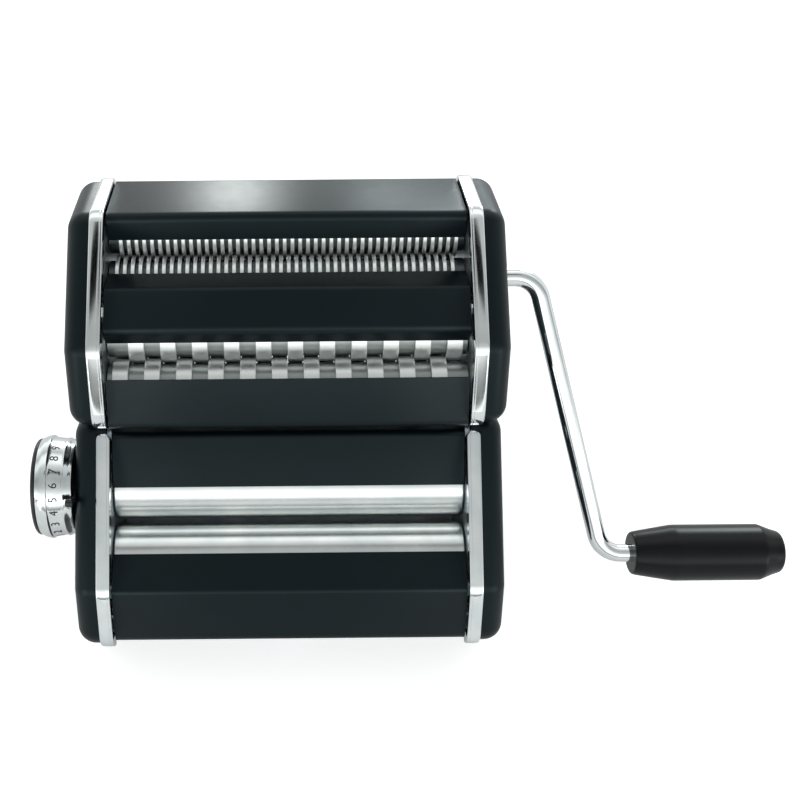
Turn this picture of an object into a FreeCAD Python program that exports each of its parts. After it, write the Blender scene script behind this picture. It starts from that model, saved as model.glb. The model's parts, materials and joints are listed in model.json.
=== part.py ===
import FreeCAD, Part
import math
import os

import Sketcher

# A hand-cranked pasta roller machine with a lift-off cutter unit.
# X runs along the rollers towards the crank, Y to the back and Z up. The origin is on the
# worktop, midway between the side frames. Sizes are in millimetres and angles in degrees.

V = FreeCAD.Vector
doc = FreeCAD.newDocument("PastaMachine")
parts = {}

# ---------------------------------------------------------------- driving dimensions

SIZES = {
    "clear_half": 75.9,        # half the clear width between the side frames
    "frame_sheet": 2.0,        # side frame steel
    "trim_width": 6.0,
    "trim_depth": 3.0,
    "trim_rise": 1.6,          # how far the trims stand out over the covers
    "trim_lip": 0.8,           # width of the raised lip along each edge of a trim
    "lip_height": 0.4,
    "cover_inner": 82.0,       # where a side cover starts, from the middle
    "cover_depth": 10.0,
    "cover_wall": 1.6,
    "cover_edge": 8.0,         # rounding of a cover's outer edge
    "corner": 8.6,             # rounding of a side outline's corners
    "panel_half": 75.3,
    "panel_sheet": 1.0,
    "panel_recess": 0.4,       # how far a panel lies below the covers' outline
    "bend": 3.0,               # centreline radius of a panel's folds
    "running_fit": 0.05,
    "foot_height": 3.0,
    "base_sheet": 2.0,
    "roller_radius": 14.5,
    "roller_half": 75.4,
    "pair_angle": 31.0,        # from the front roller's axis to the rear one's
    "rest_gap": 1.9,           # roller gap with 5 at the pointer
    "least_gap": 0.6,          # roller gap with 9 at the pointer
    "widest_gap": 3.525,       # roller gap with 0 at the pointer
    "dial_step": 16.3636,      # turn of the knob between two numbers
    "socket_radius": 6.0,
    "socket_bore": 4.1,
    "socket_end": 90.5,
    "journal": 4.0,
    "hub_radius": 9.5,
    "gear_start": 82.5,
    "gear_width": 5.0,
    "cutter_radius": 11.0,
    "groove_depth": 2.4,
    "cutter_centres": 20.2,
    "cutter_angle": 35.2,      # from a lower cutter's axis to the upper one's
    "strip": 6.65,             # width of a wide strand
    "land_play": 0.1,
    "knob_radius": 23.0,
    "knob_inner": 92.8,
    "knob_outer": 108.4,
    "crank_radius": 4.0,
    "crank_bend": 12.0,
    "crank_reach": 126.3,      # from the driven axis to the grip's axis
    "crank_lean": 34.4,        # how far the arm leans away from the machine
    "grip_radius": 12.7,
    "grip_start": 155.4,
    "grip_length": 67.5,
}

sheet = doc.addObject("Spreadsheet::Sheet", "Sizes")
for row, (alias, value) in enumerate(SIZES.items(), 1):
    sheet.set(f"A{row}", alias)
    sheet.set(f"B{row}", str(value))
    sheet.setAlias(f"B{row}", alias)
doc.recompute()


def size(alias):
    """The value that the sheet holds under a name."""
    return float(getattr(sheet, alias))


# Axes of the shafts, as (Y, Z). The nips are the middles of the gaps between each pair.
ROLLER_NIP = (-7.5, 54.9)
WIDE_NIP = (38.5, 111.5)
FINE_NIP = (79.5, 131.2)


def along(point, angle, distance):
    """The point at a distance from another, in a direction given in the side view."""
    turn = math.radians(angle)
    return (point[0] + distance * math.cos(turn), point[1] + distance * math.sin(turn))


def toward(start, goal, distance):
    """The point at a distance from the start, on the line to the goal."""
    share = distance / math.dist(start, goal)
    return tuple(a + share * (b - a) for a, b in zip(start, goal))


roller_half_centres = size("roller_radius") + size("rest_gap") / 2
FRONT_AXIS = along(ROLLER_NIP, size("pair_angle") + 180, roller_half_centres)
REAR_AXIS = along(ROLLER_NIP, size("pair_angle"), roller_half_centres)
cutter_half_centres = size("cutter_centres") / 2
WIDE_LOWER = along(WIDE_NIP, size("cutter_angle") + 180, cutter_half_centres)
WIDE_UPPER = along(WIDE_NIP, size("cutter_angle"), cutter_half_centres)
FINE_LOWER = along(FINE_NIP, size("cutter_angle") + 180, cutter_half_centres)
FINE_UPPER = along(FINE_NIP, size("cutter_angle"), cutter_half_centres)

# The adjusting shaft turns from dial 0 to dial 9, five steps one way and four the other.
# Its eccentric lobes carry the rear roller, and their throw gives the change of gap.
KNOB_LOW = -5 * size("dial_step")
KNOB_HIGH = 4 * size("dial_step")
knob_middle = (KNOB_LOW + KNOB_HIGH) / 2
half_turn = math.radians((KNOB_HIGH - KNOB_LOW) / 2)
half_travel = (size("widest_gap") - size("least_gap")) / 2
THROW = half_travel / math.sin(half_turn)
LOBE_ANGLE = size("pair_angle") + 90 - knob_middle
arc_middle = THROW * (1 + math.cos(half_turn)) / 2
rest_offset = size("rest_gap") - (size("widest_gap") + size("least_gap")) / 2
SHAFT_AXIS = along(
    along(REAR_AXIS, size("pair_angle"), -rest_offset), size("pair_angle") + 90, -arc_middle
)
CRANK_ANGLE = 227.7
GRIP_AXIS = along(FINE_LOWER, CRANK_ANGLE, size("crank_reach"))

# Side outlines, as (Y, Z) corners going round anticlockwise, before their corners are rounded.
MACHINE_SIDE = [(-57.0, 35.9), (-40.0, 4.0), (50.0, 4.0), (48.0, 76.0), (18.5, 94.8), (-43.9, 57.7)]
CUTTER_SIDE = [
    (8.9, 99.2), (50.0, 83.0), (108.0, 90.0), (124.0, 120.0), (117.4, 140.5), (81.6, 155.0), (28.0, 131.6)
]
TIE_RODS = [(-42.0, 40.0), (38.0, 58.0), (36.0, 24.0)]
CUTTER_TIE_RODS = [(56.0, 130.5), (108.0, 126.0), (102.0, 98.0)]
COVER_SCREWS = [(-36.0, 22.0), (34.0, 38.0)]
CUTTER_COVER_SCREWS = [(62.0, 100.0), (112.0, 112.0)]

# ---------------------------------------------------------------- outlines


def unit(a, b):
    """The unit vector from one (Y, Z) point to another."""
    length = math.dist(a, b)
    return ((b[0] - a[0]) / length, (b[1] - a[1]) / length)


def mitred(before, corner, after, distance):
    """A corner moved to the left of both its runs; an end has one run."""
    runs = [unit(a, b) for a, b in ((before, corner), (corner, after)) if a and b]
    normals = [(-run[1], run[0]) for run in runs]
    share = 1 + sum(a * b for a, b in zip(*normals)) if len(normals) == 2 else 1
    return tuple(corner[i] + distance * sum(n[i] for n in normals) / share for i in (0, 1))


def inset(points, distance):
    """A closed anticlockwise outline with every run moved inwards."""
    count = len(points)
    return [
        mitred(points[i - 1], points[i], points[(i + 1) % count], distance) for i in range(count)
    ]


def offset(path, distance):
    """An open path moved to its left."""
    ends = [None, *path, None]
    return [mitred(ends[i], ends[i + 1], ends[i + 2], distance) for i in range(len(path))]


def turn_at(before, corner, after):
    """The turn of a path at a corner, in radians, positive to the left."""
    a, b = unit(before, corner), unit(corner, after)
    return math.atan2(a[0] * b[1] - a[1] * b[0], a[0] * b[0] + a[1] * b[1])


def rounded(points, radii, closed=True):
    """Straight edges joined by tangent arcs, for a sketch."""
    count = len(points)
    starts, ends, arcs = list(points), list(points), []
    for i in range(count) if closed else range(1, count - 1):
        if radii[i] <= 0:
            continue
        before, corner, after = points[i - 1], points[i], points[(i + 1) % count]
        half = abs(turn_at(before, corner, after)) / 2
        back, on = unit(corner, before), unit(corner, after)
        reach = radii[i] * math.tan(half)
        middle = unit((0, 0), (back[0] + on[0], back[1] + on[1]))
        sag = radii[i] * (1 / math.cos(half) - 1)
        ends[i] = tuple(corner[k] + reach * back[k] for k in (0, 1))
        starts[i] = tuple(corner[k] + reach * on[k] for k in (0, 1))
        crown = tuple(corner[k] + sag * middle[k] for k in (0, 1))
        arcs.append(Part.Arc(V(*ends[i], 0), V(*crown, 0), V(*starts[i], 0)))
    last = count if closed else count - 1
    lines = [
        Part.LineSegment(V(*starts[i], 0), V(*ends[(i + 1) % count], 0)) for i in range(last)
    ]
    return lines + arcs


def polygon(points):
    """A closed outline of straight edges."""
    return rounded(points, [0] * len(points))


def band(path, radii, thickness):
    """The closed outline of a strip with rounded bends, centred on a path."""
    half = thickness / 2
    left, right = offset(path, half), offset(path, -half)
    bends = [0] * len(path)
    for i in range(1, len(path) - 1):
        bends[i] = math.copysign(half, turn_at(*path[i - 1:i + 2]))
    left_radii = [r - bend if r else 0 for r, bend in zip(radii, bends)]
    right_radii = [r + bend if r else 0 for r, bend in zip(radii, bends)]
    return rounded(left + right[::-1], left_radii + right_radii[::-1])


# ---------------------------------------------------------------- features


def new_body(label, axis=(0, 0), turn=0):
    """A PartDesign body whose X axis lies on a shaft's axis."""
    body = doc.addObject("PartDesign::Body", label)
    body.Label = label
    body.Placement = FreeCAD.Placement(V(0, *axis), FreeCAD.Rotation(V(1, 0, 0), turn))
    return body


def origin_part(body, role):
    """One of a body's own origin planes or axes."""
    return next(item for item in body.Origin.OriginFeatures if item.Role == role)


def sketch_in(body, name, edges, role="YZ_Plane", level=None, circles=()):
    """A sketch on an origin plane, moved along its normal by an expression."""
    sketch = body.newObject("Sketcher::SketchObject", name)
    sketch.AttachmentSupport = [(origin_part(body, role), "")]
    sketch.MapMode = "FlatFace"
    if level is not None:
        sketch.setExpression(".AttachmentOffset.Base.z", str(level))
    for edge in edges:
        sketch.addGeometry(edge)
    for centre, radius in circles:
        index = sketch.addGeometry(Part.Circle(V(*centre, 0), V(0, 0, 1), 1.0))
        number = sketch.addConstraint(Sketcher.Constraint("Radius", index, 1.0))
        sketch.setExpression(f"Constraints[{number}]", str(radius))
    return sketch


def prism(body, name, edges, start, length, circles=(), cut=False, role="YZ_Plane"):
    """A pad, or a pocket with cut, from a level along the plane's normal."""
    sketch = sketch_in(body, name + "_sketch", edges, role, start, circles)
    feature = body.newObject("PartDesign::Pocket" if cut else "PartDesign::Pad", name)
    feature.Profile = sketch
    feature.setExpression("Length", str(length))
    feature.Reversed = cut
    doc.recompute()
    return feature


def turned(body, name, profile):
    """A solid of revolution about the body's X axis; the profile is (X, radius) corners."""
    sketch = sketch_in(body, name + "_sketch", polygon(profile), "XY_Plane")
    feature = body.newObject("PartDesign::Revolution", name)
    feature.Profile = sketch
    feature.ReferenceAxis = (sketch, ["H_Axis"])
    feature.Angle = 360
    doc.recompute()
    return feature


def register(item, label=None):
    """Lists a finished sub-part under its own label."""
    item.Label = label or item.Label
    parts[item.Label] = item
    return item


def group(label, members):
    """Like pieces that share one node as separate solids."""
    compound = doc.addObject("Part::Compound", label)
    compound.Links = members
    return register(compound, label)


def cylinder(name, centre, radius, start, length):
    """A Part cylinder along X, from a level."""
    item = doc.addObject("Part::Cylinder", name)
    item.setExpression("Radius", str(radius))
    item.setExpression("Height", str(length))
    item.Placement = FreeCAD.Placement(V(0, *centre), FreeCAD.Rotation(V(0, 1, 0), 90))
    item.setExpression(".Placement.Base.x", str(start))
    return item


def box(name, low, high):
    """A Part box between two corners."""
    item = doc.addObject("Part::Box", name)
    item.Length, item.Width, item.Height = (b - a for a, b in zip(low, high))
    item.Placement.Base = V(*low)
    return item


def joined(name, kind, members):
    """A Part boolean of two or more objects."""
    item = doc.addObject(kind, name)
    if kind == "Part::Cut":
        item.Base, item.Tool = members
    else:
        item.Shapes = members
    return item


def mirrored_span(side, low, length):
    """The start level, as an expression, of a span that starts at low from the middle."""
    return low if side > 0 else f"-({low}) - ({length})"


SIDES = (("right", 1), ("left", -1))

# ---------------------------------------------------------------- base


def make_base():
    """A steel plate with turned-up sides, four rubber feet and the socket for a table clamp."""
    body = new_body("base_plate")
    half = size("clear_half")
    plate = [(-half, -38.0), (half, -38.0), (half, 47.0), (-half, 47.0)]
    feet = [(x, y) for x in (-62.0, 62.0) for y in (-29.0, 39.0)]
    prism(
        body, "plate", rounded(plate, [4.0] * 4), "Sizes.foot_height", "Sizes.base_sheet",
        circles=[(foot, 4.0) for foot in feet], role="XY_Plane",
    )
    for name, side in SIDES:
        flange = [(-34.0, 4.5), (43.0, 4.5), (43.0, 18.0), (-34.0, 18.0)]
        start = mirrored_span(side, "Sizes.clear_half - 1.5", "1.5")
        prism(body, name + "_flange", rounded(flange, [0, 0, 4, 4]), start, "1.5")
    register(body)
    group("rubber_feet", [make_foot(i, foot) for i, foot in enumerate(feet)])
    tube = new_body("clamp_socket")
    ring = [((0.0, 11.6), 6.5), ((0.0, 11.6), 4.1)]
    prism(tube, "tube", [], "10", "28", circles=ring, role="XZ_Plane")
    register(tube)


def make_foot(number, place):
    """A rubber foot: a pad, a neck through the plate and a head above it."""
    foot = new_body(f"foot_{number}")
    foot.Placement = FreeCAD.Placement(V(*place, 0), FreeCAD.Rotation(V(0, 1, 0), -90))
    turned(foot, "rubber", [
        (0, 0), (0, 7.2), (3, 8), (3, 3.9), (5, 3.9), (5, 6), (6.5, 5), (6.5, 0),
    ])
    return foot


# ---------------------------------------------------------------- side frames, trims and covers


def make_frame(label, side, outline, holes):
    """A steel side plate with the holes for its shafts and tie rods."""
    body = new_body(label)
    points = inset(outline, size("trim_depth") + 0.2)
    radii = [size("corner") - size("trim_depth")] * len(points)
    start = mirrored_span(side, "Sizes.clear_half", "Sizes.frame_sheet")
    prism(body, "plate", rounded(points, radii), start, "Sizes.frame_sheet", circles=holes)
    register(body)


def round_end(body, trim, side, end):
    """Rounds the strip's free end by a fillet across each of its two corners."""
    sides = [side * size("clear_half"), side * (size("clear_half") + size("trim_width"))]
    corners = [
        f"Edge{i}" for i, edge in enumerate(trim.Shape.Edges, 1)
        if any(math.dist((point.Y, point.Z), end) < 0.01 for point in edge.Vertexes)
        and any(all(abs(point.X - x) < 0.01 for point in edge.Vertexes) for x in sides)
        and edge.Length < size("trim_depth") + size("trim_rise") + 0.1
    ]
    fillet = body.newObject("PartDesign::Fillet", "round_end")
    fillet.Base = (trim, corners)
    fillet.setExpression("Radius", "Sizes.trim_width / 2 - 0.1")


def make_trim(label, side, path, radii, rounded_end=False):
    """A bright metal strip along the edge of a side frame, with a raised lip on each edge."""
    body = new_body(label)
    rise, drop = size("trim_rise"), size("lip_height")
    path, depth = offset(path, -rise), size("trim_depth") + rise
    radii = [r + rise if r else 0 for r in radii]
    low = offset(path, (depth + drop) / 2)
    floor = band(low, [r - (depth + drop) / 2 if r else 0 for r in radii], depth - drop)
    start = mirrored_span(side, "Sizes.clear_half", "Sizes.trim_width")
    prism(body, "floor", floor, start, "Sizes.trim_width")
    full = band(offset(path, depth / 2), [r - depth / 2 if r else 0 for r in radii], depth)
    outer_lip = "Sizes.clear_half + Sizes.trim_width - Sizes.trim_lip"
    for name, level in (("inner", "Sizes.clear_half"), ("outer", outer_lip)):
        start = mirrored_span(side, level, "Sizes.trim_lip")
        lips = prism(body, name + "_lip", full, start, "Sizes.trim_lip")
    if rounded_end:
        round_end(body, lips, side, path[0])
    register(body)


def cover_block(name, side, outline, shrink, finish, width):
    """A block with the side outline, smaller all round by shrink, with a finished outer edge."""
    body = new_body(name)
    points = inset(outline, shrink)
    radii = [size("corner") - shrink] * len(points)
    depth = f"Sizes.cover_depth - {shrink}"
    start = mirrored_span(side, "Sizes.cover_inner", depth)
    block = prism(body, "block", rounded(points, radii), start, depth)
    outer = side * (size("cover_inner") + size("cover_depth") - shrink)
    edges = [
        f"Edge{i}" for i, edge in enumerate(block.Shape.Edges, 1)
        if all(abs(vertex.X - outer) < 0.01 for vertex in edge.Vertexes)
    ]
    edge = body.newObject(f"PartDesign::{finish}", "outer_edge")
    edge.Base = (block, edges)
    edge.setExpression("Radius" if finish == "Fillet" else "Size", width)
    doc.recompute()
    return body


def make_skirt(name, side, path):
    """The rim of a cover that reaches in to the frame where no trim runs."""
    body = new_body(name)
    wall, corner = size("cover_wall"), size("corner")
    depth = wall / 2 + 0.3
    radii = [0, *[corner - depth] * (len(path) - 2), 0]
    length = "Sizes.cover_inner + 0.8 - (Sizes.clear_half + Sizes.frame_sheet + 0.1)"
    start = mirrored_span(side, "Sizes.clear_half + Sizes.frame_sheet + 0.1", length)
    prism(body, "rim", band(offset(path, depth), radii, wall), start, length)
    return body


def make_cover(label, side, outline, skirt, bosses, openings):
    """A deep-drawn side cover: an open shell with inner bosses and the holes of its shafts."""
    wall = size("cover_wall")
    outer = cover_block(label + "_outside", side, outline, 0, "Fillet", "Sizes.cover_edge")
    inner = cover_block(label + "_inside", side, outline, wall, "Chamfer", "Sizes.cover_edge / 2")
    cover = joined(label + "_shell", "Part::Cut", (outer, inner))
    rim = make_skirt(label + "_skirt", side, skirt)
    cover = joined(label + "_joined", "Part::MultiFuse", [cover, rim, *bosses])
    if openings:
        tool = openings[0]
        if len(openings) > 1:
            tool = joined(label + "_openings", "Part::MultiFuse", openings)
        cover = joined(label + "_cut", "Part::Cut", (cover, tool))
    register(cover, label)


def side_cylinder(name, side, centre, radius, low, length):
    """A cylinder along X on one side of the machine."""
    return cylinder(name, centre, radius, mirrored_span(side, low, length), length)


def screw_holes(label, side, places):
    """Clearance holes for a cover's screws."""
    return [
        side_cylinder(f"{label}_screw_hole_{i}", side, place, 2.2, 88, 6)
        for i, place in enumerate(places)
    ]


def make_stop_groove():
    """The curved groove in the left cover that ends the knob's turn at 0 and at 9."""
    body = new_body("stop_groove", SHAFT_AXIS)
    low, high = (math.radians(STOP_PIN_ANGLE + turn) for turn in (KNOB_LOW, KNOB_HIGH))
    inner, outer = STOP_RADIUS - 1.8, STOP_RADIUS + 1.8

    def polar(radius, turn):
        return V(radius * math.cos(turn), radius * math.sin(turn), 0)

    middle = (low + high) / 2
    edges = [
        Part.Arc(polar(inner, low), polar(inner, middle), polar(inner, high)),
        Part.Arc(polar(outer, low), polar(outer, middle), polar(outer, high)),
        Part.Arc(polar(inner, low), polar(STOP_RADIUS, low - 1.8 / STOP_RADIUS), polar(outer, low)),
        Part.Arc(polar(inner, high), polar(STOP_RADIUS, high + 1.8 / STOP_RADIUS), polar(outer, high)),
    ]
    prism(body, "groove", edges, "-93", "3")
    return body


STOP_RADIUS = 13.0
STOP_PIN_ANGLE = 20.0


def make_sides():
    """Frames, trims and covers of the roller body and of the cutter unit."""
    corner = size("corner")
    machine_end, cutter_end, cutter_back = MACHINE_SIDE[4], CUTTER_SIDE[0], CUTTER_SIDE[4]
    top_end = toward(machine_end, MACHINE_SIDE[5], 5.9)
    foot_end = toward(*MACHINE_SIDE[:2], 7)
    machine_trim = [top_end, MACHINE_SIDE[5], MACHINE_SIDE[0], foot_end]
    machine_skirt = [
        toward(foot_end, MACHINE_SIDE[1], 0.3), *MACHINE_SIDE[1:5], toward(top_end, machine_end, 0.3),
    ]
    low_end, back_end = toward(*CUTTER_SIDE[:2], 13), toward(cutter_back, CUTTER_SIDE[3], 13)
    cutter_trim = [back_end, cutter_back, CUTTER_SIDE[5], CUTTER_SIDE[6], cutter_end, low_end]
    cutter_skirt = [
        toward(low_end, CUTTER_SIDE[1], 0.3), *CUTTER_SIDE[1:4], toward(back_end, CUTTER_SIDE[3], 0.3),
    ]
    shafts = {
        "right": [(FRONT_AXIS, 8.0), (REAR_AXIS, 11.8)],
        "left": [(FRONT_AXIS, 8.0), (SHAFT_AXIS, 6.0)],
    }
    cutters = {
        "right": [(WIDE_LOWER, 8.0), (WIDE_UPPER, 6.0), (FINE_LOWER, 8.0), (FINE_UPPER, 6.0)],
        "left": [(axis, 6.0) for axis in (WIDE_LOWER, WIDE_UPPER, FINE_LOWER, FINE_UPPER)],
    }
    for name, side in SIDES:
        make_frame(name + "_frame", side, MACHINE_SIDE, shafts[name])
        make_frame(f"cutter_{name}_frame", side, CUTTER_SIDE, cutters[name])
        make_trim(name + "_trim", side, machine_trim, [0, corner, corner, 0], rounded_end=True)
        make_trim(f"cutter_{name}_trim", side, cutter_trim, [0, corner, corner, corner, corner, 0])
    make_cover(
        "right_cover", 1, MACHINE_SIDE, machine_skirt,
        [side_cylinder("shaft_boss", 1, SHAFT_AXIS, 7, 88, 3)],
        [
            side_cylinder("shaft_hole", 1, SHAFT_AXIS, "Sizes.journal + Sizes.running_fit", 80, 10.2),
            side_cylinder("drive_hole", 1, FRONT_AXIS, 6.8, 86, 8),
            *screw_holes("right_cover", 1, COVER_SCREWS),
        ],
    )
    make_cover(
        "left_cover", -1, MACHINE_SIDE, machine_skirt,
        [side_cylinder("knob_boss", -1, SHAFT_AXIS, 17, 87.5, 4)],
        [
            side_cylinder("knob_hole", -1, SHAFT_AXIS, 4.6, 86, 8),
            make_stop_groove(),
            *screw_holes("left_cover", -1, COVER_SCREWS),
        ],
    )
    drive_holes = [
        side_cylinder(f"cutter_drive_hole_{i}", 1, axis, 6.8, 86, 8)
        for i, axis in enumerate((WIDE_LOWER, FINE_LOWER))
    ]
    make_cover(
        "cutter_right_cover", 1, CUTTER_SIDE, cutter_skirt, [],
        drive_holes + screw_holes("cutter_right_cover", 1, CUTTER_COVER_SCREWS),
    )
    make_cover(
        "cutter_left_cover", -1, CUTTER_SIDE, cutter_skirt, [],
        screw_holes("cutter_left_cover", -1, CUTTER_COVER_SCREWS),
    )


# ---------------------------------------------------------------- sheet panels


def make_panel(label, path, bend="bend"):
    """A folded sheet across the machine, drawn by the middle of its thickness."""
    body = new_body(label)
    radii = [0, *[size(bend)] * (len(path) - 2), 0]
    outline = band(path, radii, size("panel_sheet"))
    prism(body, "fold", outline, "-Sizes.panel_half", "2 * Sizes.panel_half")
    register(body)


def make_panels():
    """The panels between the trims, which lie a little below them."""
    depth = size("panel_recess") + size("panel_sheet") / 2
    machine, cutter = inset(MACHINE_SIDE, depth), inset(CUTTER_SIDE, depth)
    make_panel("front_panel", [(-27.5, 61.6), machine[5], machine[0], (-50.0, 31.5)])
    make_panel("rear_panel", [(-3.2, 76.6), machine[4], machine[3], (machine[2][0], 5.6)])
    make_panel("sheet_deflector", [(18.0, 44.0), (-8.0, 25.0), (-38.0, 19.8)])
    make_panel("cutter_rear_panel", [(78.2, 143.6), cutter[5], cutter[4], cutter[3], (112.0, 95.0)])
    make_panel("cutter_middle_panel", [(65.6, 135.6), (53.3, 140.3), (36.8, 133.1), (37.4, 125.6)])
    make_panel("cutter_front_panel", [(23.6, 117.9), cutter[0], (44.0, 87.3)])


# ---------------------------------------------------------------- rods, screws and bushes


def make_rods_and_screws():
    """Tie rods between the frames, the screws in their ends and the screws of the covers."""
    frame_face = "Sizes.clear_half + Sizes.frame_sheet"
    for prefix, rods, covers, radius in (
        ("", TIE_RODS, COVER_SCREWS, 4.0), ("cutter_", CUTTER_TIE_RODS, CUTTER_COVER_SCREWS, 3.0)
    ):
        group(prefix + "tie_rods", [
            cylinder(f"{prefix}rod_{i}", rod, radius, "-Sizes.clear_half", "2 * Sizes.clear_half")
            for i, rod in enumerate(rods)
        ])
        group(prefix + "frame_screws", [
            side_cylinder(f"{prefix}screw_{name}_{i}", side, rod, 3.6, frame_face, 2)
            for name, side in SIDES for i, rod in enumerate(rods)
        ])
        group(prefix + "cover_screws", [
            make_cover_screw(f"{prefix}cover_screw_{name}_{i}", side, place)
            for name, side in SIDES for i, place in enumerate(covers)
        ])


def make_cover_screw(name, side, place):
    """A long screw that holds a cover to its frame."""
    screw = new_body(name, place)
    frame = size("clear_half") + size("frame_sheet")
    outer = size("cover_inner") + size("cover_depth")
    profile = [(frame, 0), (frame, 2), (outer, 2), (outer, 3.8), (outer + 1.2, 3.2), (outer + 1.2, 0)]
    turned(screw, "screw", [(side * x, r) for x, r in profile])
    return screw


def make_bush(name, side, centre, outer, bore):
    """A flanged bearing bush pressed into a side frame."""
    bush = new_body(name, centre)
    inner_face, flange = size("clear_half"), size("clear_half") + size("frame_sheet")
    fit = size("running_fit")
    profile = [
        (inner_face, bore + fit), (inner_face, outer), (flange, outer), (flange, outer + 1.2),
        (flange + 0.8, outer + 1.2), (flange + 0.8, bore + fit),
    ]
    turned(bush, "bush", [(side * x, r) for x, r in profile])
    return bush


def make_bushes():
    """The bearings of the fixed roller, the adjusting shaft and the four cutters."""
    socket, journal = size("socket_radius"), size("journal")
    group("frame_bushes", [
        make_bush("front_bush_right", 1, FRONT_AXIS, 8.0, socket),
        make_bush("front_bush_left", -1, FRONT_AXIS, 8.0, socket),
        make_bush("shaft_bush_left", -1, SHAFT_AXIS, 6.0, journal),
    ])
    axes = {
        "wide_lower": WIDE_LOWER, "wide_upper": WIDE_UPPER,
        "fine_lower": FINE_LOWER, "fine_upper": FINE_UPPER,
    }
    bushes = [make_bush(f"{name}_bush_left", -1, axis, 6.0, journal) for name, axis in axes.items()]
    for name, axis in axes.items():
        driven = name.endswith("lower")
        outer, bore = (8.0, socket) if driven else (6.0, journal)
        bushes.append(make_bush(f"{name}_bush_right", 1, axis, outer, bore))
    group("cutter_bushes", bushes)


# ---------------------------------------------------------------- gears


def involute(angle):
    """The involute of a pressure angle, in radians."""
    return math.tan(angle) - angle


def make_gear(label, axis, phase, teeth, pitch_radius, start, bore, addendum=1.0, backlash=0.12):
    """A spur gear: a disc with one involute tooth gap, patterned round it."""
    module = 2 * pitch_radius / teeth
    tip, root = pitch_radius + addendum * module, pitch_radius - 1.25 * module
    base = pitch_radius * math.cos(math.radians(20))

    def gap(radius):
        pressure = math.acos(min(1, base / radius))
        tooth = math.pi / (2 * teeth) - backlash / (2 * pitch_radius)
        return math.pi / teeth - (tooth + involute(math.radians(20)) - involute(pressure))

    def flank(radius, side):
        turn = side * gap(max(radius, base))
        return V(radius * math.cos(turn), radius * math.sin(turn), 0)

    foot, over = max(root, base), tip + 0.4
    body = new_body(label, axis, phase)
    prism(body, "disc", [], start, "Sizes.gear_width", circles=[((0, 0), tip), ((0, 0), bore)])
    edges = [
        Part.Arc(flank(foot, side), flank((foot + over) / 2, side), flank(over, side)) for side in (-1, 1)
    ]
    for radius in (over, root):
        edges.append(Part.Arc(flank(radius, -1), V(radius, 0, 0), flank(radius, 1)))
    if root < base:
        edges += [Part.LineSegment(flank(root, side), flank(foot, side)) for side in (-1, 1)]
    pocket = prism(body, "gap", edges, start, "Sizes.gear_width", cut=True)
    pattern = body.newObject("PartDesign::PolarPattern", "teeth")
    pattern.Originals = [pocket]
    pattern.Axis = (origin_part(body, "X_Axis"), [""])
    pattern.Angle = 360
    pattern.Occurrences = teeth
    body.Tip = pattern
    doc.recompute()
    register(body)


ROLLER_TEETH = 12
CUTTER_TEETH = 20


def make_gears():
    """One pair for the rollers on the right, and one pair for each cutter pair on the left."""
    least = size("roller_radius") + size("least_gap") / 2
    pair, half_tooth = size("pair_angle"), 180 / ROLLER_TEETH
    make_gear(
        "front_gear", FRONT_AXIS, pair, ROLLER_TEETH, least, "Sizes.gear_start", "Sizes.socket_radius", 0.9,
    )
    make_gear(
        "rear_gear", REAR_AXIS, pair + 180 + half_tooth, ROLLER_TEETH, least,
        "Sizes.gear_start", "Sizes.hub_radius", 0.9,
    )
    pair, half_tooth = size("cutter_angle"), 180 / CUTTER_TEETH
    for name, lower, upper in (("wide", WIDE_LOWER, WIDE_UPPER), ("fine", FINE_LOWER, FINE_UPPER)):
        start = "-84.5"
        make_gear(
            f"{name}_lower_gear", lower, pair, CUTTER_TEETH, cutter_half_centres, start, "Sizes.journal",
        )
        make_gear(
            f"{name}_upper_gear", upper, pair + 180 + half_tooth, CUTTER_TEETH, cutter_half_centres,
            start, "Sizes.journal",
        )


# ---------------------------------------------------------------- rollers and their adjustment


def cut_socket(body):
    """The crank's socket in a shaft's right end: a round hole and a cross slot for its ears."""
    end = size("socket_end")
    prism(body, "socket", [], "77", "20", circles=[((0, 0), "Sizes.socket_bore")], cut=True)
    slot = [(-1.3, -8), (1.3, -8), (1.3, 8), (-1.3, 8)]
    prism(body, "slot", polygon(slot), str(end - 6), "10", cut=True)


def make_rollers():
    """The fixed front roller, driven by the crank, and the hollow rear one."""
    half, radius, socket = size("roller_half"), size("roller_radius"), size("socket_radius")
    front = new_body("front_roller", FRONT_AXIS)
    turned(front, "roller", [
        (-79.5, 0), (-79.5, socket), (-half, socket), (-half, radius - 0.6), (-half + 0.6, radius),
        (half - 0.6, radius), (half, radius - 0.6), (half, socket), (size("socket_end"), socket),
        (size("socket_end"), 0),
    ])
    cut_socket(front)
    register(front)
    hub, hub_end = size("hub_radius"), size("gear_start") + size("gear_width")
    rear = new_body("rear_roller", REAR_AXIS)
    turned(rear, "roller", [
        (-half, BUSH_OUTER + 0.05), (-half, radius - 0.6), (-half + 0.6, radius), (half - 0.6, radius),
        (half, radius - 0.6), (half, hub), (hub_end, hub), (hub_end, 7.0), (half - 1, 7.0),
        (half - 1, BUSH_OUTER + 0.05), (half - 9.5, BUSH_OUTER + 0.05), (half - 9.5, 9.0),
        (-half + 9.5, 9.0), (-half + 9.5, BUSH_OUTER + 0.05),
    ])
    register(rear)


BUSH_OUTER = 8.0
BUSH_BORE = 6.4
LOBE_RADIUS = 5.6


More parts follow.
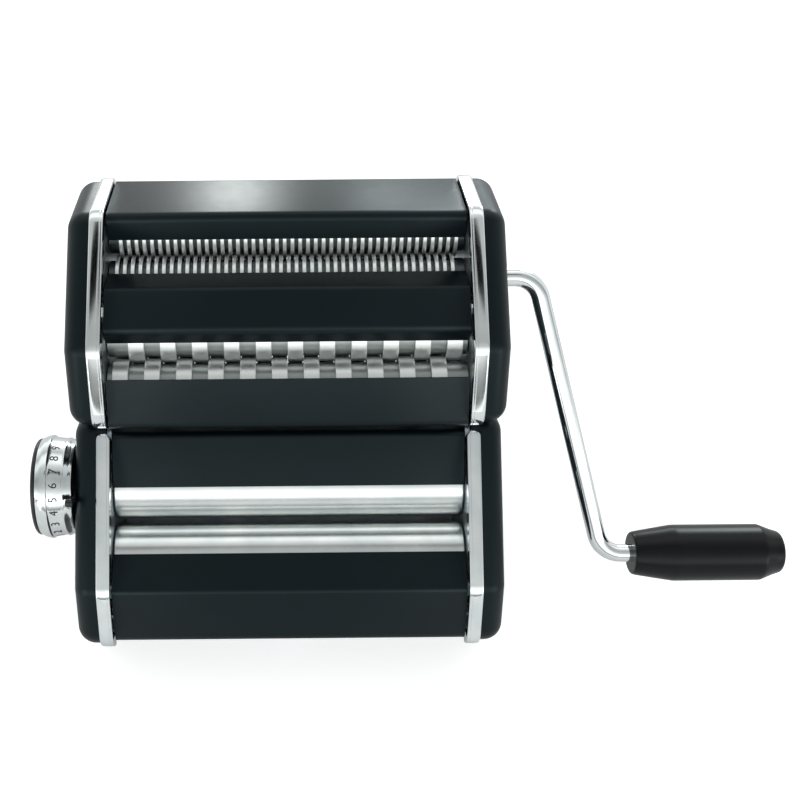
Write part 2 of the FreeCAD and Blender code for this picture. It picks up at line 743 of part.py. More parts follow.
def make_adjuster():
    """The shaft through the rear roller, its eccentric lobes and the bushes that they carry."""
    shaft = new_body("adjuster_shaft", SHAFT_AXIS)
    prism(shaft, "shaft", [], "-104", "194", circles=[((0, 0), "Sizes.journal")])
    lobe = along((0, 0), LOBE_ANGLE, THROW)
    for name, side in SIDES:
        start = mirrored_span(side, "67", "6")
        prism(shaft, name + "_lobe", [], start, "6", circles=[(lobe, LOBE_RADIUS)])
    register(shaft)
    bushes = []
    for name, side in SIDES:
        bush = new_body(name + "_roller_bush", REAR_AXIS)
        start = mirrored_span(side, "66.2", "8")
        prism(bush, "ring", [], start, "8", circles=[((0, 0), BUSH_OUTER), ((0, 0), BUSH_BORE)])
        bushes.append(bush)
    group("roller_bushes", bushes)


def make_scrapers():
    """Blades below the rollers that lift the dough off them."""
    for label, axis, direction in (
        ("front_scraper", FRONT_AXIS, size("pair_angle") - 70),
        ("rear_scraper", REAR_AXIS, size("pair_angle") + 180 + 70),
    ):
        body = new_body(label)
        path = [along(axis, direction, size("roller_radius") + reach) for reach in (0.3, 6.0)]
        half = "Sizes.clear_half" if label == "front_scraper" else "Sizes.panel_half"
        prism(body, "blade", band(path, [0, 0], 1.2), f"-{half}", f"2 * {half}")
        register(body)


def make_knob():
    """The dial knob, its end cap, the screw that holds it and the spring behind the screw."""
    radius, inner, outer = size("knob_radius"), size("knob_inner"), size("knob_outer")
    knob = new_body("adjusting_knob", SHAFT_AXIS)
    turned(knob, "knob", [(-x, r) for x, r in [
        (inner, 4.05), (inner, radius - 2.6), (inner + 1.8, radius - 2.3), (inner + 3.9, radius - 1.2),
        (inner + 4.4, radius - 1.7), (outer - 5.3, radius - 0.9), (outer - 4.8, radius),
        (outer, radius - 1.6), (outer, 10.0),
        (inner + 3.2, 10.0), (inner + 3.2, 4.05),
    ]])
    pin = along((0, 0), STOP_PIN_ANGLE, STOP_RADIUS)
    prism(knob, "stop_pin", [], f"-{inner}", "2.3", circles=[(pin, 1.5)])
    register(knob)
    cap = new_body("knob_cap", SHAFT_AXIS)
    turned(cap, "cap", [(-x, r) for x, r in [
        (outer, 0), (outer, radius - 1.7), (outer + 1.5, radius - 1.9), (outer + 2.2, radius - 2.8),
        (outer + 2.2, 0),
    ]])
    register(cap)
    screw = new_body("shaft_screw", SHAFT_AXIS)
    turned(screw, "screw", [(-x, r) for x, r in [(104.0, 0), (104.0, 8.5), (105.6, 8.5), (105.6, 0)]])
    register(screw)


def make_spring():
    """The coil spring that pulls the knob back against the machine."""
    start, end, wire, radius = size("knob_inner") + 3.25, 103.95, 0.5, 6.4
    coils, steps = 4.5, 12
    turn, rise = 2 * math.pi / steps, (end - start - 2 * wire) / (coils * steps)
    points = [
        V(radius * math.cos(turn * i), radius * math.sin(turn * i), rise * i)
        for i in range(int(coils * steps) + 1)
    ]
    section = Part.makePolygon([
        points[0] + V(wire * math.cos(math.pi * i / 4), 0, wire * math.sin(math.pi * i / 4)) for i in range(9)
    ])
    mitred_corners = 1
    spring = doc.addObject("Part::Feature", "knob_spring")
    spring.Shape = Part.makePolygon(points).makePipeShell([section], True, False, mitred_corners)
    spring.Placement = FreeCAD.Placement(V(-end + wire, *SHAFT_AXIS), FreeCAD.Rotation(V(0, 1, 0), 90))
    register(spring)


def make_pointer():
    """The small round pointer on the left cover, in line with the dial's number 5."""
    place = along(SHAFT_AXIS, 136.8, 26.0)
    pointer = new_body("dial_pointer", place)
    face = size("cover_inner") + size("cover_depth")
    turned(pointer, "nub", [
        (-face, 0), (-face, 1.8), (-face - 1.4, 1.6), (-face - 2.2, 0.9), (-face - 2.4, 0),
    ])
    register(pointer)


# ---------------------------------------------------------------- cutters


def cutter_profile(first_land, driven):
    """Half the section of a wide cutter: raised lands and grooves of one strip's width."""
    half, strip = size("roller_half"), size("strip")
    high, core = size("cutter_radius"), size("cutter_radius") - size("groove_depth")
    play = size("land_play") / 2
    points = [(-85.0, 0), (-85.0, size("journal")), (-half, size("journal")), (-half, core)]
    for number in range(11):
        start = first_land + 2 * strip * number
        low, top = start + play, start + strip - play
        points += [(low, core), (low, high), (top, high), (top, core)]
    return points + [(half, core)] + right_end(driven)


def right_end(driven):
    """A cutter's right end: a crank socket where it is driven, and a plain journal elsewhere."""
    half = size("roller_half")
    radius, end = (size("socket_radius"), size("socket_end")) if driven else (size("journal"), 80.0)
    return [(half, radius), (end, radius), (end, 0)]


def make_cutters():
    """Two pairs of interleaved cutters; the fine pair's rings are left plain at mean radius."""
    first = -11 * size("strip")
    for name, axis, driven, land in (
        ("wide_lower_cutter", WIDE_LOWER, True, first),
        ("wide_upper_cutter", WIDE_UPPER, False, first + size("strip")),
    ):
        body = new_body(name, axis)
        turned(body, "cutter", cutter_profile(land, driven))
        if driven:
            cut_socket(body)
        register(body)
    half, mean, journal = size("roller_half"), cutter_half_centres - 0.15, size("journal")
    for name, axis, driven in (
        ("fine_lower_cutter", FINE_LOWER, True),
        ("fine_upper_cutter", FINE_UPPER, False),
    ):
        body = new_body(name, axis)
        left = [(-85.0, 0), (-85.0, journal), (-half, journal), (-half, mean)]
        turned(body, "cutter", left + [(half, mean)] + right_end(driven))
        if driven:
            cut_socket(body)
        register(body)


def make_comb(name, axis, direction, first_groove):
    """A strip below a cutter; its teeth reach into the grooves and lift the strands out."""
    body = new_body(name, axis, direction)
    half, high = size("clear_half"), size("cutter_radius")
    low = high + 0.5
    strip = [(-half, low), (half, low), (half, high + 4.0), (-half, high + 4.0)]
    prism(body, "strip", polygon(strip), "-0.5", "1", role="XY_Plane")
    if first_groove is not None:
        width, root = size("strip"), high - size("groove_depth") + 0.4
        left, right = first_groove + 0.4, first_groove + width - 0.4
        tooth = [(left, root), (right, root), (right, low + 1), (left, low + 1)]
        pad = prism(body, "tooth", polygon(tooth), "-0.5", "1", role="XY_Plane")
        pattern = body.newObject("PartDesign::LinearPattern", "teeth")
        pattern.Originals = [pad]
        pattern.Direction = (origin_part(body, "X_Axis"), [""])
        pattern.Length = 20 * width
        pattern.Occurrences = 11
        body.Tip = pattern
        doc.recompute()
    return body


def make_combs():
    """The combs of both cutter pairs, on the side where the strands come out."""
    first, angle = -11 * size("strip"), size("cutter_angle")
    group("wide_combs", [
        make_comb("wide_lower_comb", WIDE_LOWER, angle - 65, first + size("strip")),
        make_comb("wide_upper_comb", WIDE_UPPER, angle + 180 + 65, first),
    ])
    group("fine_combs", [
        make_comb("fine_lower_comb", FINE_LOWER, angle - 65, None),
        make_comb("fine_upper_comb", FINE_UPPER, angle + 180 + 65, None),
    ])


def make_hooks():
    """Tongues under the cutter unit that drop into sockets on the back of the machine."""
    tongues, sockets = [], []
    for name, side in SIDES:
        low, high = sorted((side * 61.0, side * 72.0))
        edge, frame = sorted((side * 61.0, side * size("clear_half")))
        tongue = box(name + "_tongue", (low, 52.0, 63.0), (high, 54.0, 84.0))
        web = box(name + "_web", (edge, 52.0, 84.0), (frame, 54.0, 94.0))
        tongues.append(joined(name + "_hook", "Part::MultiFuse", [tongue, web]))
        low, high = sorted((side * 58.5, side * 74.5))
        block = box(name + "_block", (low, 48.9, 60.0), (high, 56.6, 72.0))
        low, high = sorted((side * 60.6, side * 72.4))
        slot = box(name + "_slot", (low, 51.6, 62.0), (high, 54.4, 73.0))
        sockets.append(joined(name + "_socket", "Part::Cut", (block, slot)))
    group("cutter_hooks", tongues)
    group("hook_sockets", sockets)


# ---------------------------------------------------------------- crank


def make_crank():
    """A bent steel rod with two pressed ears at its end, and the grip that spins on it."""
    body = new_body("crank_rod", FINE_LOWER, CRANK_ANGLE)
    reach, lean, bend = size("crank_reach"), size("crank_lean"), size("crank_bend")
    grip = size("grip_start")
    start, shoulder = 77.5, 107.4
    path = [(start, 0), (shoulder, 0), (shoulder + lean, reach), (grip + 58.0, reach)]
    spine = sketch_in(body, "spine", rounded(path, [0, bend, bend, 0], closed=False), "XY_Plane")
    section = sketch_in(body, "section", [], "YZ_Plane", start, [((0, 0), "Sizes.crank_radius")])
    rod = body.newObject("PartDesign::AdditivePipe", "rod")
    rod.Profile = section
    rod.Spine = spine
    doc.recompute()
    corners = ((-1.1, -5.6), (1.1, -5.6), (1.1, 5.6), (-1.1, 5.6))
    ears = [along(along((0, 0), -CRANK_ANGLE, y), 90 - CRANK_ANGLE, z) for y, z in corners]
    prism(body, "ears", polygon(ears), str(size("socket_end") - 5.5), "4")
    register(body)
    handle = new_body("crank_grip", GRIP_AXIS)
    radius, length = size("grip_radius"), size("grip_length")
    fit = size("crank_radius") + size("running_fit")
    turned(handle, "grip", [(grip + x, r) for x, r in [
        (0, fit), (0, radius - 3.6), (0.8, radius - 3.0), (18.6, radius), (57.5, radius),
        (length - 4.5, radius - 2.2),
        (length - 0.8, radius - 3.4), (length, radius - 4.6), (length, 0), (58.6, 0), (58.6, fit),
    ]])
    register(handle)


# ---------------------------------------------------------------- build, check and write


def check_document():
    """Stops on a failed feature, a pocket that cut nothing or an unsound sub-part."""
    for item in doc.Objects:
        if {"Invalid", "Error"} & set(item.State):
            raise RuntimeError(f"{item.Label} failed: {item.State}")
        if item.TypeId == "PartDesign::Pocket":
            removed = item.BaseFeature.Shape.Volume - item.Shape.Volume
            if removed < 0.01:
                raise RuntimeError(f"{item.Label} cut nothing")
    for label, item in parts.items():
        if item.Shape.isNull() or not item.Shape.isValid() or not item.Shape.Solids:
            raise RuntimeError(f"{label} has no sound shape")


make_base()
make_sides()
make_panels()
make_rods_and_screws()
make_bushes()
make_gears()
make_rollers()
make_adjuster()
make_scrapers()
make_knob()
make_spring()
make_pointer()
make_cutters()
make_combs()
make_hooks()
make_crank()
doc.recompute()
check_document()

os.makedirs("parts", exist_ok=True)
for label, item in parts.items():
    item.Shape.exportStep(f"parts/{label}.step")
print(len(parts), "sub-parts written")
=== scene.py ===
import json
import math

import bmesh
import bpy
import numpy as np
from mathutils import Matrix, Vector


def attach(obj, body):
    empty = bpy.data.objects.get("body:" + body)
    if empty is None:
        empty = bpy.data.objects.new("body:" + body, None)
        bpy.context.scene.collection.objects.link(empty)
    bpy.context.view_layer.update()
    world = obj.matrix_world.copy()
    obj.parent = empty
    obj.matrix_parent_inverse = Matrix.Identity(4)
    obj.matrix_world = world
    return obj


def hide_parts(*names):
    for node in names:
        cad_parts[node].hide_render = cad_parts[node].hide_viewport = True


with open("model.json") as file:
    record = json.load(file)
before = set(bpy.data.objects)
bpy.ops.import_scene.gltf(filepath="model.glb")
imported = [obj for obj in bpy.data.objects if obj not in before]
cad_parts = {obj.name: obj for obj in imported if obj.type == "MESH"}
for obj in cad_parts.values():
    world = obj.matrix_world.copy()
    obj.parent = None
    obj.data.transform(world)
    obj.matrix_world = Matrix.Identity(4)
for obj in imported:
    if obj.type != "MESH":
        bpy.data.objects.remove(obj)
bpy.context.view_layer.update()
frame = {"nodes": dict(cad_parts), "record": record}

# ---------------------------------------------------------------- the studio

# The machine stands on a seamless white sweep, and the camera looks down on it from in front.
# The room is light and dark in bands, as a tent of soft boxes is, so that polished metal shows
# its shape. Bright boards behind light the flat tops, and dark ones overhead streak the trims.

MM = 0.001
MIDDLE = (0.0, 0.03, 0.08)
CAMERA_PLACE = (0.0, -0.251, 0.4948)
CAMERA_DOWN = 55.0
CAMERA_ROLL = 0.52
CAMERA_LENS = 50.85
CAMERA_SHIFT = 0.14
FLOOR_RADIUS = 3.0
FLOOR_GLOW = 0.5
# the room's light by its place in a half turn, from behind at 0, over the top, to the front at 1
LIGHT_BANDS = [
    (0.0, 0.64), (0.06, 0.54), (0.12, 0.4), (0.2, 0.25), (0.25, 0.5), (0.3, 0.56), (0.36, 0.54), (0.41, 0.34),
    (0.48, 0.26), (0.57, 0.2), (0.7, 0.28), (0.76, 0.46), (0.8, 0.6), (0.87, 1.0), (0.92, 0.62), (0.96, 0.2),
    (1.0, 0.06),
]
ROOM_STRENGTH, SIDE_STRENGTH = 2.5, 1.9


def linear(hex_colour):
    """An sRGB hex colour as linear red, green, blue and alpha."""
    channels = [int(hex_colour[i:i + 2], 16) / 255 for i in (1, 3, 5)]
    return [c / 12.92 if c <= 0.04045 else ((c + 0.055) / 1.055) ** 2.4 for c in channels] + [1.0]


def add(tree, kind, inputs=None, stops=(), **settings):
    """One shader node with its settings, the stops of its ramp if it has one, and its inputs:
    each is a value, a socket, or a node whose first output it takes."""
    made = tree.nodes.new(f"ShaderNode{kind}")
    for name, value in settings.items():
        setattr(made, name, value)
    for i, (position, colour) in enumerate(stops):
        stop = made.color_ramp.elements[i] if i < 2 else made.color_ramp.elements.new(position)
        stop.position, stop.color = position, colour
    for name, value in (inputs or {}).items():
        if isinstance(value, bpy.types.Node):
            value = value.outputs[0]
        if isinstance(value, bpy.types.NodeSocket):
            tree.links.new(value, made.inputs[name])
        else:
            made.inputs[name].default_value = value
    return made


def empty_tree(owner):
    """The node tree of a world or a material, emptied."""
    owner.use_nodes = True
    owner.node_tree.nodes.clear()
    return owner.node_tree


def placed(name, data):
    """A new object in the scene, at the origin."""
    item = bpy.data.objects.new(name, data)
    bpy.context.collection.objects.link(item)
    return item


def white_to_lens(tree):
    """1 for rays from the camera, straight or through something clear, else 0."""
    path = add(tree, "LightPath").outputs
    return add(tree, "Math", {0: path["Is Camera Ray"], 1: path["Is Transmission Ray"]}, operation="MAXIMUM")


def make_world():
    """A white surround to the lens, and bands of light from behind, over the top, to the front.

    The band is chosen by the angle of the direction in the plane of Y and Z, as a part of a half
    turn, and it is dimmer towards the sides, by the square of the direction's X."""
    world = bpy.data.worlds.new("studio_world")
    bpy.context.scene.world = world
    tree = empty_tree(world)
    way = add(tree, "SeparateXYZ", {0: add(tree, "TexCoord").outputs["Generated"]}).outputs
    angle = add(tree, "Math", {0: way["Z"], 1: way["Y"]}, operation="ARCTAN2")
    part = add(tree, "Math", {0: angle, 1: math.pi}, operation="DIVIDE")
    bands = [(position, (level * 0.96, level, level * 0.99, 1.0)) for position, level in LIGHT_BANDS]
    ramp = add(tree, "ValToRGB", {"Fac": part}, stops=bands)
    side = add(tree, "Math", {0: way["X"], 1: way["X"]}, operation="MULTIPLY")
    strength = add(tree, "MapRange", {"Value": side, "To Min": ROOM_STRENGTH, "To Max": SIDE_STRENGTH})
    fill = add(tree, "Background", {"Color": ramp, "Strength": strength})
    white = add(tree, "Background", {"Color": linear("#FFFFFF"), "Strength": 1.0})
    mixed = add(tree, "MixShader", {0: white_to_lens(tree), 1: fill, 2: white})
    add(tree, "OutputWorld", {"Surface": mixed})


def make_floor():
    """A round white floor: a lit surface that keeps the shadow, with some light of its own."""
    data = bpy.data.meshes.new("floor")
    turns = np.linspace(0, 2 * math.pi, 64, endpoint=False)
    ring = FLOOR_RADIUS * np.stack([np.cos(turns), np.sin(turns), np.zeros_like(turns)], axis=1)
    data.from_pydata(ring, [], [list(range(len(ring)))])
    paper = bpy.data.materials.new("white_paper")
    tree = empty_tree(paper)
    lit = add(tree, "BsdfDiffuse", {"Color": linear("#F2F2F2")})
    glow = add(tree, "Emission", {"Color": linear("#FFFFFF"), "Strength": FLOOR_GLOW})
    both = add(tree, "AddShader", {0: lit, 1: glow})
    shown = add(tree, "MixShader", {0: white_to_lens(tree), 1: lit, 2: both})
    add(tree, "OutputMaterial", {"Surface": shown})
    data.materials.append(paper)
    placed("floor", data)


def aim(item, place):
    """Puts a lamp or board at a place, facing the machine's middle."""
    turned = (Vector(MIDDLE) - Vector(place)).to_track_quat("-Z", "Y").to_matrix().to_4x4()
    item.matrix_world = Matrix.Translation(place) @ turned


def soft_box(name, place, size, power):
    """A square soft box."""
    lamp = bpy.data.lights.new(name, "AREA")
    lamp.shape, lamp.size, lamp.size_y, lamp.energy = "RECTANGLE", size, size, power
    aim(placed(name, lamp), place)


def card(name, place, width, height, colour, strength, solid):
    """An oval board that only shows in reflections, brighter or darker than the room.

    It is solid out to that part of its radius, and fades from there to its edge."""
    data = bpy.data.meshes.new(name)
    corners = [(x * width, y * height, 0) for y in (-0.5, 0.5) for x in (-0.5, 0.5)]
    data.from_pydata(corners, [], [(0, 1, 3, 2)])
    board = placed(name, data)
    aim(board, place)
    material = bpy.data.materials.new(name)
    tree = empty_tree(material)
    on_board = add(tree, "TexCoord").outputs["Object"]
    halves = {0: on_board, 1: (2 / width, 2 / height, 0.0)}
    scaled = add(tree, "VectorMath", halves, operation="MULTIPLY")
    out = add(tree, "VectorMath", {0: scaled}, operation="LENGTH").outputs["Value"]
    limits = {"Value": out, "From Min": 1.0, "From Max": solid}
    shown = add(tree, "MapRange", limits, interpolation_type="SMOOTHSTEP")
    clear = add(tree, "BsdfTransparent")
    glow = add(tree, "Emission", {"Color": linear(colour), "Strength": strength})
    mixed = add(tree, "MixShader", {0: shown, 1: clear, 2: glow})
    add(tree, "OutputMaterial", {"Surface": mixed})
    data.materials.append(material)
    board.visible_camera = board.visible_diffuse = board.visible_shadow = False
    board.visible_transmission = False


def make_camera():
    """The camera looks along +Y and down, and its shift puts the machine left of the middle."""
    lens = bpy.data.cameras.new("camera")
    lens.sensor_width, lens.lens, lens.shift_x = 36.0, CAMERA_LENS, CAMERA_SHIFT
    lens.clip_start, lens.clip_end = 0.01, 20.0
    camera = placed("camera", lens)
    turned = Matrix.Rotation(math.radians(90 - CAMERA_DOWN), 4, "X")
    rolled = Matrix.Rotation(math.radians(-CAMERA_ROLL), 4, "Z")
    camera.matrix_world = Matrix.Translation(CAMERA_PLACE) @ turned @ rolled
    bpy.context.scene.camera = camera


make_world()
make_floor()
make_camera()
soft_box("left_box", (-1.15, -1.0, 0.35), 0.6, 2.4)
soft_box("right_box", (1.15, -1.0, 0.35), 0.6, 2.4)
card("left_back_glow", (-0.2, 1.4, 0.2), 0.46, 0.6, "#FBFFFC", 27.0, 0.0)
card("right_back_glow", (0.38, 1.4, 0.2), 0.4, 0.6, "#EEF8FA", 9.0, 0.0)
card("grip_glow", (0.78, 1.4, 0.4), 0.6, 0.9, "#EEF8FA", 12.0, 0.2)
card("left_shade", (-0.28, -0.02, 1.3), 0.24, 0.7, "#20242A", 0.05, 0.6)
card("right_shade", (0.26, -0.02, 1.3), 0.2, 0.7, "#20242A", 0.05, 0.6)
bpy.context.scene.view_settings.view_transform = "Standard"

# ---------------------------------------------------------------- frames, base plate and feet

# Two zinc-plated steel side plates stand on a folded base plate, and three drawn steel rods
# tie them together. The machine stands on four moulded rubber feet.

nodes = frame["nodes"]
joints = {joint["name"]: joint for joint in frame["record"]["behaviour"]["joints"]}
TINT_LOW, TINT_HIGH = 0.3, 0.7


def finish(name, colour, roughness, metallic=0.0, tint=None, rub=None, relief=None, **sockets):
    """A material of one shader, changed by noises on the piece's own coordinates.

    Tint, rub and relief each start with a noise's size along X, its size across, both in
    millimetres, and its detail. Tint then has the two colours that the noise runs between, rub
    the two roughnesses, and relief the depth of its bump in millimetres."""
    material = bpy.data.materials.new(name)
    material.use_nodes = True
    tree = material.node_tree
    shader = tree.nodes["Principled BSDF"]
    settings = {"Base Color": linear(colour), "Roughness": roughness, "Metallic": metallic, **sockets}
    for socket, value in settings.items():
        shader.inputs[socket.replace("_", " ")].default_value = value
    place = add(tree, "TexCoord").outputs["Object"]
    noises = {}
    for change in (tint, rub, relief):
        if change and change[0] not in noises:
            along, across, detail = change[0]
            scale = (1 / (along * MM), 1 / (across * MM), 1 / (across * MM))
            spread = add(tree, "Mapping", {"Vector": place, "Scale": scale})
            noises[change[0]] = add(tree, "TexNoise", {"Vector": spread, "Scale": 1.0, "Detail": detail})
    if tint:
        colours = [(TINT_LOW, linear(tint[1])), (TINT_HIGH, linear(tint[2]))]
        ramp = add(tree, "ValToRGB", {"Fac": noises[tint[0]]}, stops=colours)
        tree.links.new(ramp.outputs[0], shader.inputs["Base Color"])
    if rub:
        rubbed = add(tree, "MapRange", {"Value": noises[rub[0]], "To Min": rub[1], "To Max": rub[2]})
        tree.links.new(rubbed.outputs[0], shader.inputs["Roughness"])
    if relief:
        depth = {"Height": noises[relief[0]], "Distance": relief[1] * MM, "Strength": 1.0}
        bump = add(tree, "Bump", depth)
        tree.links.new(bump.outputs[0], shader.inputs["Normal"])
    return material


def dress(material, *names):
    """Gives CAD nodes a finish."""
    for name in names:
        data = nodes[name].data
        data.materials.clear()
        data.materials.append(material)


# zinc-plated sheet: satin, slightly blue and cloudy, with rolling lines 0.3 mm apart
rolling_lines = (12, 0.3, 2)
sheet_steel = finish("zinc_plated_sheet", "#A9B2B8", 0.34, 1.0, tint=((9, 9, 3), "#98A3AB", "#B6BEC3"),
                     rub=(rolling_lines, 0.26, 0.42), relief=(rolling_lines, 0.01))
# bright drawn bar: fine lines along X from the die
die_lines = (20, 0.25, 2)
drawn_bar = finish("drawn_steel_bar", "#B9BCBF", 0.24, 1.0, tint=((6, 6, 2), "#A8ACB0", "#C2C5C8"),
                   rub=(die_lines, 0.18, 0.34), relief=(die_lines, 0.006))
# moulded rubber: matt black with a grain of half a millimetre
rubber_grain = (0.5, 0.5, 4)
rubber = finish("moulded_rubber", "#161616", 0.82, tint=(rubber_grain, "#111111", "#1C1C1C"),
                relief=(rubber_grain, 0.04), Specular_IOR_Level=0.3)
dress(sheet_steel, "left_frame", "right_frame", "cutter_left_frame", "cutter_right_frame", "base_plate")
dress(sheet_steel, "clamp_socket", "sheet_deflector", "hook_sockets", "cutter_hooks")
dress(drawn_bar, "tie_rods", "cutter_tie_rods", "adjuster_shaft")
dress(rubber, "rubber_feet")

# ---------------------------------------------------------------- side covers

# Deep-drawn steel covers with a wide rounded edge close both sides of the machine and of the
# cutter unit. They are powder coated in satin black and held by long screws.

MACHINE_SIDE = [(-57.0, 35.9), (-40.0, 4.0), (50.0, 4.0), (48.0, 76.0), (18.5, 94.8), (-43.9, 57.7)]
CUTTER_SIDE = [(8.9, 99.2), (50.0, 83.0), (108.0, 90.0), (124.0, 120.0), (117.4, 140.5), (81.6, 155.0),
               (28.0, 131.6)]
CORNER = 8.6
COVER_WALL, COVER_START, COVER_DEPTH, COVER_EDGE = 1.6, 82.0, 10.0, 8.0
COVER_FACE = COVER_START + COVER_DEPTH
RIM_START, RIM_END = 78.1, COVER_START + 0.5
CRANK_HOLE, SHAFT_HOLE, SCREW_HOLE = 6.8, 4.6, 2.4
MOUTH = 0.3
SIDES = (("left", -1), ("right", 1))
CREASE = 34.0


def unit(vector):
    """A vector at length 1."""
    return vector / np.linalg.norm(vector)


def left_of(direction):
    """A direction in the side view turned a quarter to the left."""
    return np.array([-direction[1], direction[0]])


def toward(start, goal, distance):
    """The point at a distance from the start, on the line to the goal."""
    return tuple(np.array(start) + distance * unit(np.subtract(goal, start)))


def joint_line(name):
    """Where a joint's axis crosses the middle plane, as (Y, Z) in millimetres."""
    return [v / MM for v in joints[name]["pos_m"][1:]]


def rounded_path(points, radii, closed=False, steps=9):
    """Points of straight runs joined by tangent arcs, and the direction to their left.

    An arc of radius r starts r tan(turn / 2) before its corner, and the direction to its left
    turns evenly from one run's to the next one's."""
    points = np.asarray(points, float)
    count, places, lefts = len(points), [], []
    for i, radius in enumerate(radii):
        corner, before, after = points[i], points[i - 1], points[(i + 1) % count]
        if not closed and i in (0, count - 1):
            run = unit(after - corner) if i == 0 else unit(corner - before)
            places.append(corner[None])
            lefts.append(left_of(run)[None])
            continue
        arriving, leaving = unit(corner - before), unit(after - corner)
        turn = math.atan2(np.dot(left_of(arriving), leaving), np.dot(arriving, leaving))
        way = math.copysign(1, turn)
        swing = np.linspace(0, turn, steps)[:, None]
        normal = np.cos(swing) * left_of(arriving) - np.sin(swing) * arriving
        centre = corner - arriving * radius * math.tan(abs(turn) / 2) + left_of(arriving) * radius * way
        places.append(centre - normal * radius * way)
        lefts.append(normal)
    return np.concatenate(places), np.concatenate(lefts)


def grid_faces(rows, columns, around):
    """The quads of a grid of points; around joins its last column to the first."""
    row = np.arange(rows - 1)[:, None]
    column = np.arange(columns if around else columns - 1)[None, :]
    here, below, beside = row * columns, (row + 1) * columns, (column + 1) % columns
    quads = [here + column, here + beside, below + beside, below + column]
    return np.stack(np.broadcast_arrays(*quads), axis=-1).reshape(-1, 4).tolist()


def surface(points, around=False, ends=False):
    """A grid of points in millimetres, as (points, faces); ends closes its first and last rows."""
    rows, columns = points.shape[:2]
    faces = grid_faces(rows, columns, around)
    if ends:
        faces += [list(range(columns)), list(range((rows - 1) * columns, rows * columns))]
    return points.reshape(-1, 3), faces


def closed_mesh(name, surfaces):
    """One closed mesh from several surfaces, with its faces outward."""
    points, faces = [], []
    for grid, quads in surfaces:
        start = sum(len(p) for p in points)
        points.append(grid)
        faces += [[start + i for i in quad] for quad in quads]
    data = bpy.data.meshes.new(name)
    data.from_pydata(np.concatenate(points) * MM, [], faces)
    shape = bmesh.new()
    shape.from_mesh(data)
    bmesh.ops.remove_doubles(shape, verts=shape.verts, dist=0.002 * MM)
    bmesh.ops.dissolve_degenerate(shape, edges=shape.edges, dist=0.001 * MM)
    bmesh.ops.recalc_face_normals(shape, faces=shape.faces)
    shape.to_mesh(data)
    shape.free()
    return data


def smooth(data, crease):
    """Smooth shading, except where faces meet past the crease, in degrees."""
    data.polygons.foreach_set("use_smooth", [True] * len(data.polygons))
    data.set_sharp_from_angle(angle=math.radians(crease))


def make_piece(name, surfaces, material, body, replaced=(), crease=CREASE):
    """A piece from several surfaces, on its body and the nodes it stands for."""
    data = closed_mesh(name, surfaces)
    smooth(data, crease)
    data.materials.append(material)
    piece = placed(name, data)
    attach(piece, body)
    if replaced:
        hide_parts(*replaced)
    return piece


def settled_mesh(item):
    """The mesh that an object shows, with its modifiers or text worked out."""
    return bpy.data.meshes.new_from_object(item.evaluated_get(bpy.context.evaluated_depsgraph_get()))


def cut_away(piece, surfaces):
    """Cuts closed forms out of a piece."""
    tool = placed("tool", closed_mesh("tool", surfaces))
    cut = piece.modifiers.new("cut", "BOOLEAN")
    cut.operation, cut.object, cut.solver = "DIFFERENCE", tool, "EXACT"
    whole = piece.data
    piece.data = settled_mesh(piece)
    piece.modifiers.clear()
    bpy.data.meshes.remove(whole)
    bpy.data.meshes.remove(tool.data)
    smooth(piece.data, CREASE)


def drill(side, hole, radius):
    """A round drill through a cover's face, that leaves the hole's mouth slightly broken."""
    y, z = hole
    turns = np.linspace(0, 2 * math.pi, 40, endpoint=False)
    rows = [(COVER_FACE - COVER_WALL - 6.0, radius - 0.25), (COVER_FACE - MOUTH, radius - 0.25),
            (COVER_FACE + MOUTH, radius + 0.25)]
    return surface(np.array([
        [(side * x, y + r * math.cos(t), z + r * math.sin(t)) for t in turns] for x, r in rows
    ]), around=True, ends=True)


def cover_shell(side, outline):
    """A shell with the side outline: each row of the grid is the outline at one X, moved inwards.

    Over the rounded edge, X grows as the sine and the inset falls as the cosine of one angle."""
    places, lefts = rounded_path(outline, [CORNER] * len(outline), closed=True)
    swing = np.linspace(0, math.pi / 2, 11)
    straight = COVER_FACE - COVER_EDGE
    rows = [(COVER_FACE - COVER_WALL, COVER_EDGE), (straight, COVER_WALL), (COVER_START, COVER_WALL),
            (COVER_START, 0.0)]
    rows += list(zip(straight + COVER_EDGE * np.sin(swing), COVER_EDGE * (1 - np.cos(swing))))
    return surface(np.array([
        np.column_stack([np.full(len(places), side * x), places + lefts * inwards]) for x, inwards in rows
    ]), around=True, ends=True)


def cover_rim(side, path):
    """The rim of a cover that reaches in to the frame along a path, as a closed band."""
    places, lefts = rounded_path(path, [0, *[CORNER] * (len(path) - 2), 0])
    section = [(RIM_START, 0.15), (RIM_START, COVER_WALL), (RIM_END, COVER_WALL), (RIM_END, 0.05),
               (RIM_START + 0.2, 0.05)]
    return surface(np.stack([
        np.column_stack([np.full(len(places), side * x), places + lefts * inwards]) for x, inwards in section
    ], axis=1), around=True, ends=True)


# powder coat: satin black with a cool sheen, and orange peel 1.6 mm across
black_coat = finish("satin_black_powder_coat", "#030B0E", 0.36, tint=((14, 14, 4), "#030A0E", "#050D12"),
                    rub=((5, 5, 5), 0.33, 0.4), relief=((1.6, 1.6, 3), 0.012), Specular_IOR_Level=0.23,
                    Specular_Tint=linear("#E4FAFF"))
upper_end = toward(MACHINE_SIDE[4], MACHINE_SIDE[5], 4.9)
foot_end = toward(MACHINE_SIDE[0], MACHINE_SIDE[1], 7.0)
machine_rim = [toward(foot_end, MACHINE_SIDE[1], 0.2), *MACHINE_SIDE[1:5],
               toward(MACHINE_SIDE[4], MACHINE_SIDE[5], 5.4)]
cutter_rim = [toward(CUTTER_SIDE[0], CUTTER_SIDE[1], 13.3), *CUTTER_SIDE[1:4],
              toward(CUTTER_SIDE[4], CUTTER_SIDE[3], 13.3)]
